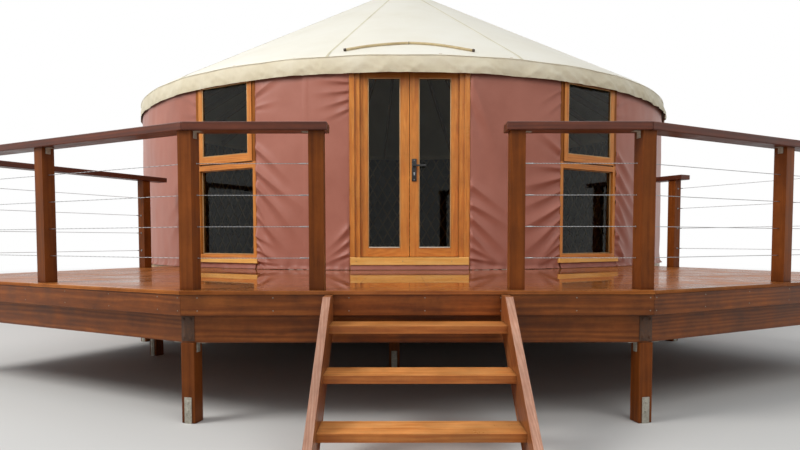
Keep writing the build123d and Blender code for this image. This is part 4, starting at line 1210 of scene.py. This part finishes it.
refined("door_plates", black_steel, "leaf_right", 0.0015)
refined("door_lever", black_steel, "lever", 0.003, 3, 60)
screws = []
for z in (plate_low + 0.014, plate_top - 0.014):
    for y, way in ((plate_front, -1), (plate_back, 1)):
        screws.append(moved(round_bar(0.0042, 0.0016, 12, 0.0006), aimed((plate_x, y, z), (0, way, 0))))
key = [moved(round_bar(0.0085, 0.0014, 20, 0.0004), aimed((plate_x, plate_front, key_z), (0, -1, 0))),
       box_piece(plate_x - 0.005, plate_x + 0.005, plate_front - 0.0014, plate_front, key_z - 0.022, key_z)]
furniture = turned_to(screws + key, [door_turn], "plate_screws")
hand_over(furniture, "plate_screws", "leaf_right", stainless, smooth=40)
print("furniture faces", len(furniture.data.polygons))

# %% [markdown]
# Straps, angles and corner plates are the CAD shapes with their sharp edges eased. The corner plates are
# brown and dull. Nails pin the fascia to each joist end in pairs, and the door sill has three.

# %% Straps, brackets and nails
refined("post_straps", zinc, "yurt", 0.0008, 1)
refined("rail_brackets", zinc, "yurt", 0.0006, 1)
plates = refined("bearer_brackets", zinc, "yurt", 0.0006, 1)
second_finish(plates, dark_plate, lambda c, n: c.z > 0.4925)


def heads(base, spots, name):
    """Copies of one small head at (place, direction) spots, as one mesh."""
    parts = [copy_at(base, aimed(place, way)) for place, way in spots]
    drop(base)
    return joined(parts, name)


joist_step, sill_nails, sill_face = 0.4475, (-0.535, -0.07, 0.42), -3.7522
fascia_line, nail_rows = inset_chain(edge, 0.009), (0.768, 0.691)
spots = []
for i in range(len(fascia_line) - 1):
    a, b = fascia_line[i], fascia_line[i + 1]
    way = (b - a).normalized()
    out = Vector((way.y, -way.x, 0))
    steps = np.arange(0.02 if i == 2 else 0.1, (b - a).length - 0.01, joist_step)
    for s in [*steps, (b - a).length - 0.022]:
        for z in nail_rows:
            spots.append((a + way * float(s) + Vector((0, 0, z)) + out * 0.0002, out))
to_door = Matrix.Rotation(door_turn, 3, "Z")
for x in sill_nails:
    spots.append((to_door @ Vector((x, sill_face, deck_z + 0.088)), to_door @ Vector((0, -1, 0))))
nails = heads(round_bar(0.0038, 0.0012, 10, 0.0005), spots, "nails")
hand_over(nails, "nails", "yurt", nail_metal, smooth=40)
print("nails", len(spots), "faces", len(nails.data.polygons))

# %% [markdown]
# The rail wires are stainless rope 4 mm thick, drawn tight from the posts beside the stair through the other
# posts to the far ends. Their lines are read from the CAD node. A swaged stud with a nut and washer holds
# each outer end, and a short sleeve shows where a wire enters a corner post.

# %% Rail wires
source = merged_copy("railing_cables")
wires, studs, sleeves = [], [], []
for own in loose_parts(source.data):
    middle = own.mean(axis=0)
    way = main_axes(own)[:, 2]
    along = (own - middle) @ way
    off_line = np.linalg.norm((own - middle) - np.outer(along, way), axis=1)
    low, high = along.min(), along.max()
    wires.append(tube([Vector(middle + way * low), Vector(middle + way * high)], 0.002, "wire", sides=8))
    for at, sign, near in ((low, 1, along < low + 0.004), (high, -1, along > high - 0.004)):
        has_stud = off_line[near].max() > 0.0035
        (studs if has_stud else sleeves).append((Vector(middle + way * at), Vector(way * sign)))
drop(source)
print("wires", len(wires), "studs", len(studs), "sleeves", len(sleeves))
wires = joined(wires, "rail_wires")
hand_over(wires, "rail_wires", "yurt", rope_metal, ("railing_cables",), smooth=60)
stud = joined([round_bar(0.0088, 0.0015, 16, 0.0004), round_bar(0.0052, 0.008, 6, 0.0006, z0=0.0015),
               round_bar(0.0028, 0.012, 10, z0=0.009), round_bar(0.0042, 0.036, 12, 0.0008, z0=0.018),
               round_bar(0.0042, 0.008, 12, z0=0.054, tip=0.0022)], "stud")
fitted = heads(stud, studs, "wire_studs")
rings = heads(round_bar(0.0042, 0.003, 12, 0.0008), sleeves, "wire_sleeves")
fittings = joined([fitted, rings], "wire_fittings")
hand_over(fittings, "wire_fittings", "yurt", stainless, smooth=40)
rope_r, rope_z = 3.7478, 2.8412
ring = primitive(bpy.ops.mesh.primitive_torus_add, major_radius=rope_r, minor_radius=0.0038,
                 major_segments=160, minor_segments=8, location=(0, 0, rope_z))
set_place(ring)
hand_over(ring, "wall_rope", "yurt", rope_metal, ("wall_cable",), smooth=60)
print("wall rope faces", len(ring.data.polygons))

# %% [markdown]
# Above the door a sleeved bar on the canvas throws the rain aside. It follows the roof in a shallow arch,
# with a joint at its crest and a dark cap at each end.

# %% Rain batten
peak_r, end_r, half_angle, lift = 3.448, 3.672, 10.2, 0.0133
sleeve_cloth = cloth("tan batten sleeve", "#BFA77B", "#CDB88D", "#D9C79F", 0.7, blotch_scale=9)
cap_rubber = metal("brown rubber caps", "#3A2C22", "#4D3B2D", 0.6, metallic=0, mottle_mm=5)
line = []
for k in range(49):
    share = k / 24 - 1
    r = peak_r + (end_r - peak_r) * abs(share) ** 1.5
    line.append(on_roof(r, 1 + half_angle * share, lift))
sleeve = tube(line, 0.0125, "rain_batten_sleeve", sides=16)
hand_over(sleeve, "rain_batten_sleeve", "yurt", sleeve_cloth, ("rain_batten",), smooth=60)
ends = []
for tip, inner in ((line[0], line[1]), (line[48], line[47])):
    inward = (inner - tip).normalized()
    ends.append(moved(round_bar(0.0140, 0.026, 16, 0.003), aimed(tip + inward * 0.02, -inward)))
ends.append(moved(round_bar(0.0134, 0.006, 16, 0.001, z0=-0.003), aimed(line[24], line[25] - line[23])))
hand_over(joined(ends, "batten_caps"), "batten_caps", "yurt", cap_rubber, smooth=50)
print("batten length", round(sum((b - a).length for a, b in zip(line, line[1:])), 3))

# %% [markdown]
# The skylight is a blown acrylic dome with a flat flange. Its profile is one line of edges that is spun
# round the middle. The doubled corners are merged, and the normals are turned outward afterwards.

# %% Crown dome
ring_z, flange_z, rise, sheet_t = 4.7913, 4.7993, 0.185, 0.006
flange_r, shell_r, inner_r = 0.462, 0.442, 0.436
ball = (shell_r ** 2 + rise ** 2) / (2 * rise)
ball_z = flange_z + rise - ball
inner_ball = ball - sheet_t
outer_line = [(ball * sin(a), ball_z + ball * cos(a)) for a in np.linspace(0, asin(shell_r / ball), 13)]
inner_line = [(inner_ball * sin(a), ball_z + inner_ball * cos(a))
              for a in np.linspace(asin(inner_r / inner_ball), 0, 13)]
profile = outer_line + [(flange_r - 0.001, flange_z), (flange_r, flange_z - 0.001), (flange_r, ring_z)]
profile += [(inner_r, ring_z)] + inner_line
dome = drawn("dome_profile", [(x, 0, z) for x, z in profile], [(k, k + 1) for k in range(len(profile) - 1)])
spin = (bpy.ops.mesh.spin, {"steps": 64, "angle": 2 * pi, "center": (0, 0, 0), "axis": (0, 0, 1)})
edit_mesh(dome, spin, (merge, {"threshold": 0.0001}), turn_outward)
hand_over(dome, "dome_shell", "yurt", acrylic, ("crown_dome",), smooth=40)
print("dome faces", len(dome.data.polygons), "loose edges", sum(e.is_loose for e in dome.data.edges))

# %% [markdown]
# Inside, the floor is boards at a pitch of 140 mm with 2 mm gaps. They are cut to the round plan by a boolean
# with the CAD plate.

# %% Yurt floor boards
floor_pitch, floor_gap, skin = 0.14, 0.002, 0.0004
low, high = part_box("yurt_floor")
disc = merged_copy("yurt_floor")
half_w, half_rows = (floor_pitch - floor_gap) / 2, int(high.y / floor_pitch)
strip = box_piece(-3.9, 3.9, -half_w, half_w, low.z + skin, high.z - skin)
rows = [copy_at(strip, Matrix.Translation((0, floor_pitch * k, 0))) for k in range(-half_rows, half_rows + 1)]
drop(strip)
boards = joined(rows, "floor_boards")
boolean(boards, disc, "INTERSECT")
drop(disc)
board_grain(boards)
hand_over(boards, "floor_boards", "yurt", floor_wood, ("yurt_floor",), smooth=30)
print("floor boards", len(rows), "faces", len(boards.data.polygons))

# %% [markdown]
# Two screws hold every deck board on every joist. The joists stand under the fascia nails, so the same step
# gives the screw lines, and a ray from above tells where a board is. A head is eight-sided and driven flush.

# %% Deck screws
def on_board(x, y):
    """Whether a board lies under a point and 12 mm round it."""
    return all(planks.ray_cast(Vector((x + dx, y + dy, deck_high.z + 0.1)), Vector((0, 0, -1)))[0]
               for dx, dy in ((0, 0), (0.012, 0), (-0.012, 0), (0, 0.012), (0, -0.012)))


spots = []
first_x, first_y = fascia_line[2].x + 0.02, edge[1].y + border_w + board_pitch / 2
for i in range(-6, 14):
    for k in range(count):
        for side in (-0.026, 0.026):
            x, y = first_x + joist_step * i, first_y + board_pitch * k + side
            if on_board(x, y):
                spots.append((Vector((x, y, deck_high.z - 0.0013)), Vector((0, 0, 1))))
screws = heads(round_bar(0.0045, 0.0012, 8), spots, "deck_screws")
hand_over(screws, "deck_screws", "yurt", dull_screws, smooth=30)
print("deck screws", len(spots), "faces", len(screws.data.polygons))

# %% [markdown]
# The bounds of all shown pieces are found, without the stage floor.

# %% Bounds
low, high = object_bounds()
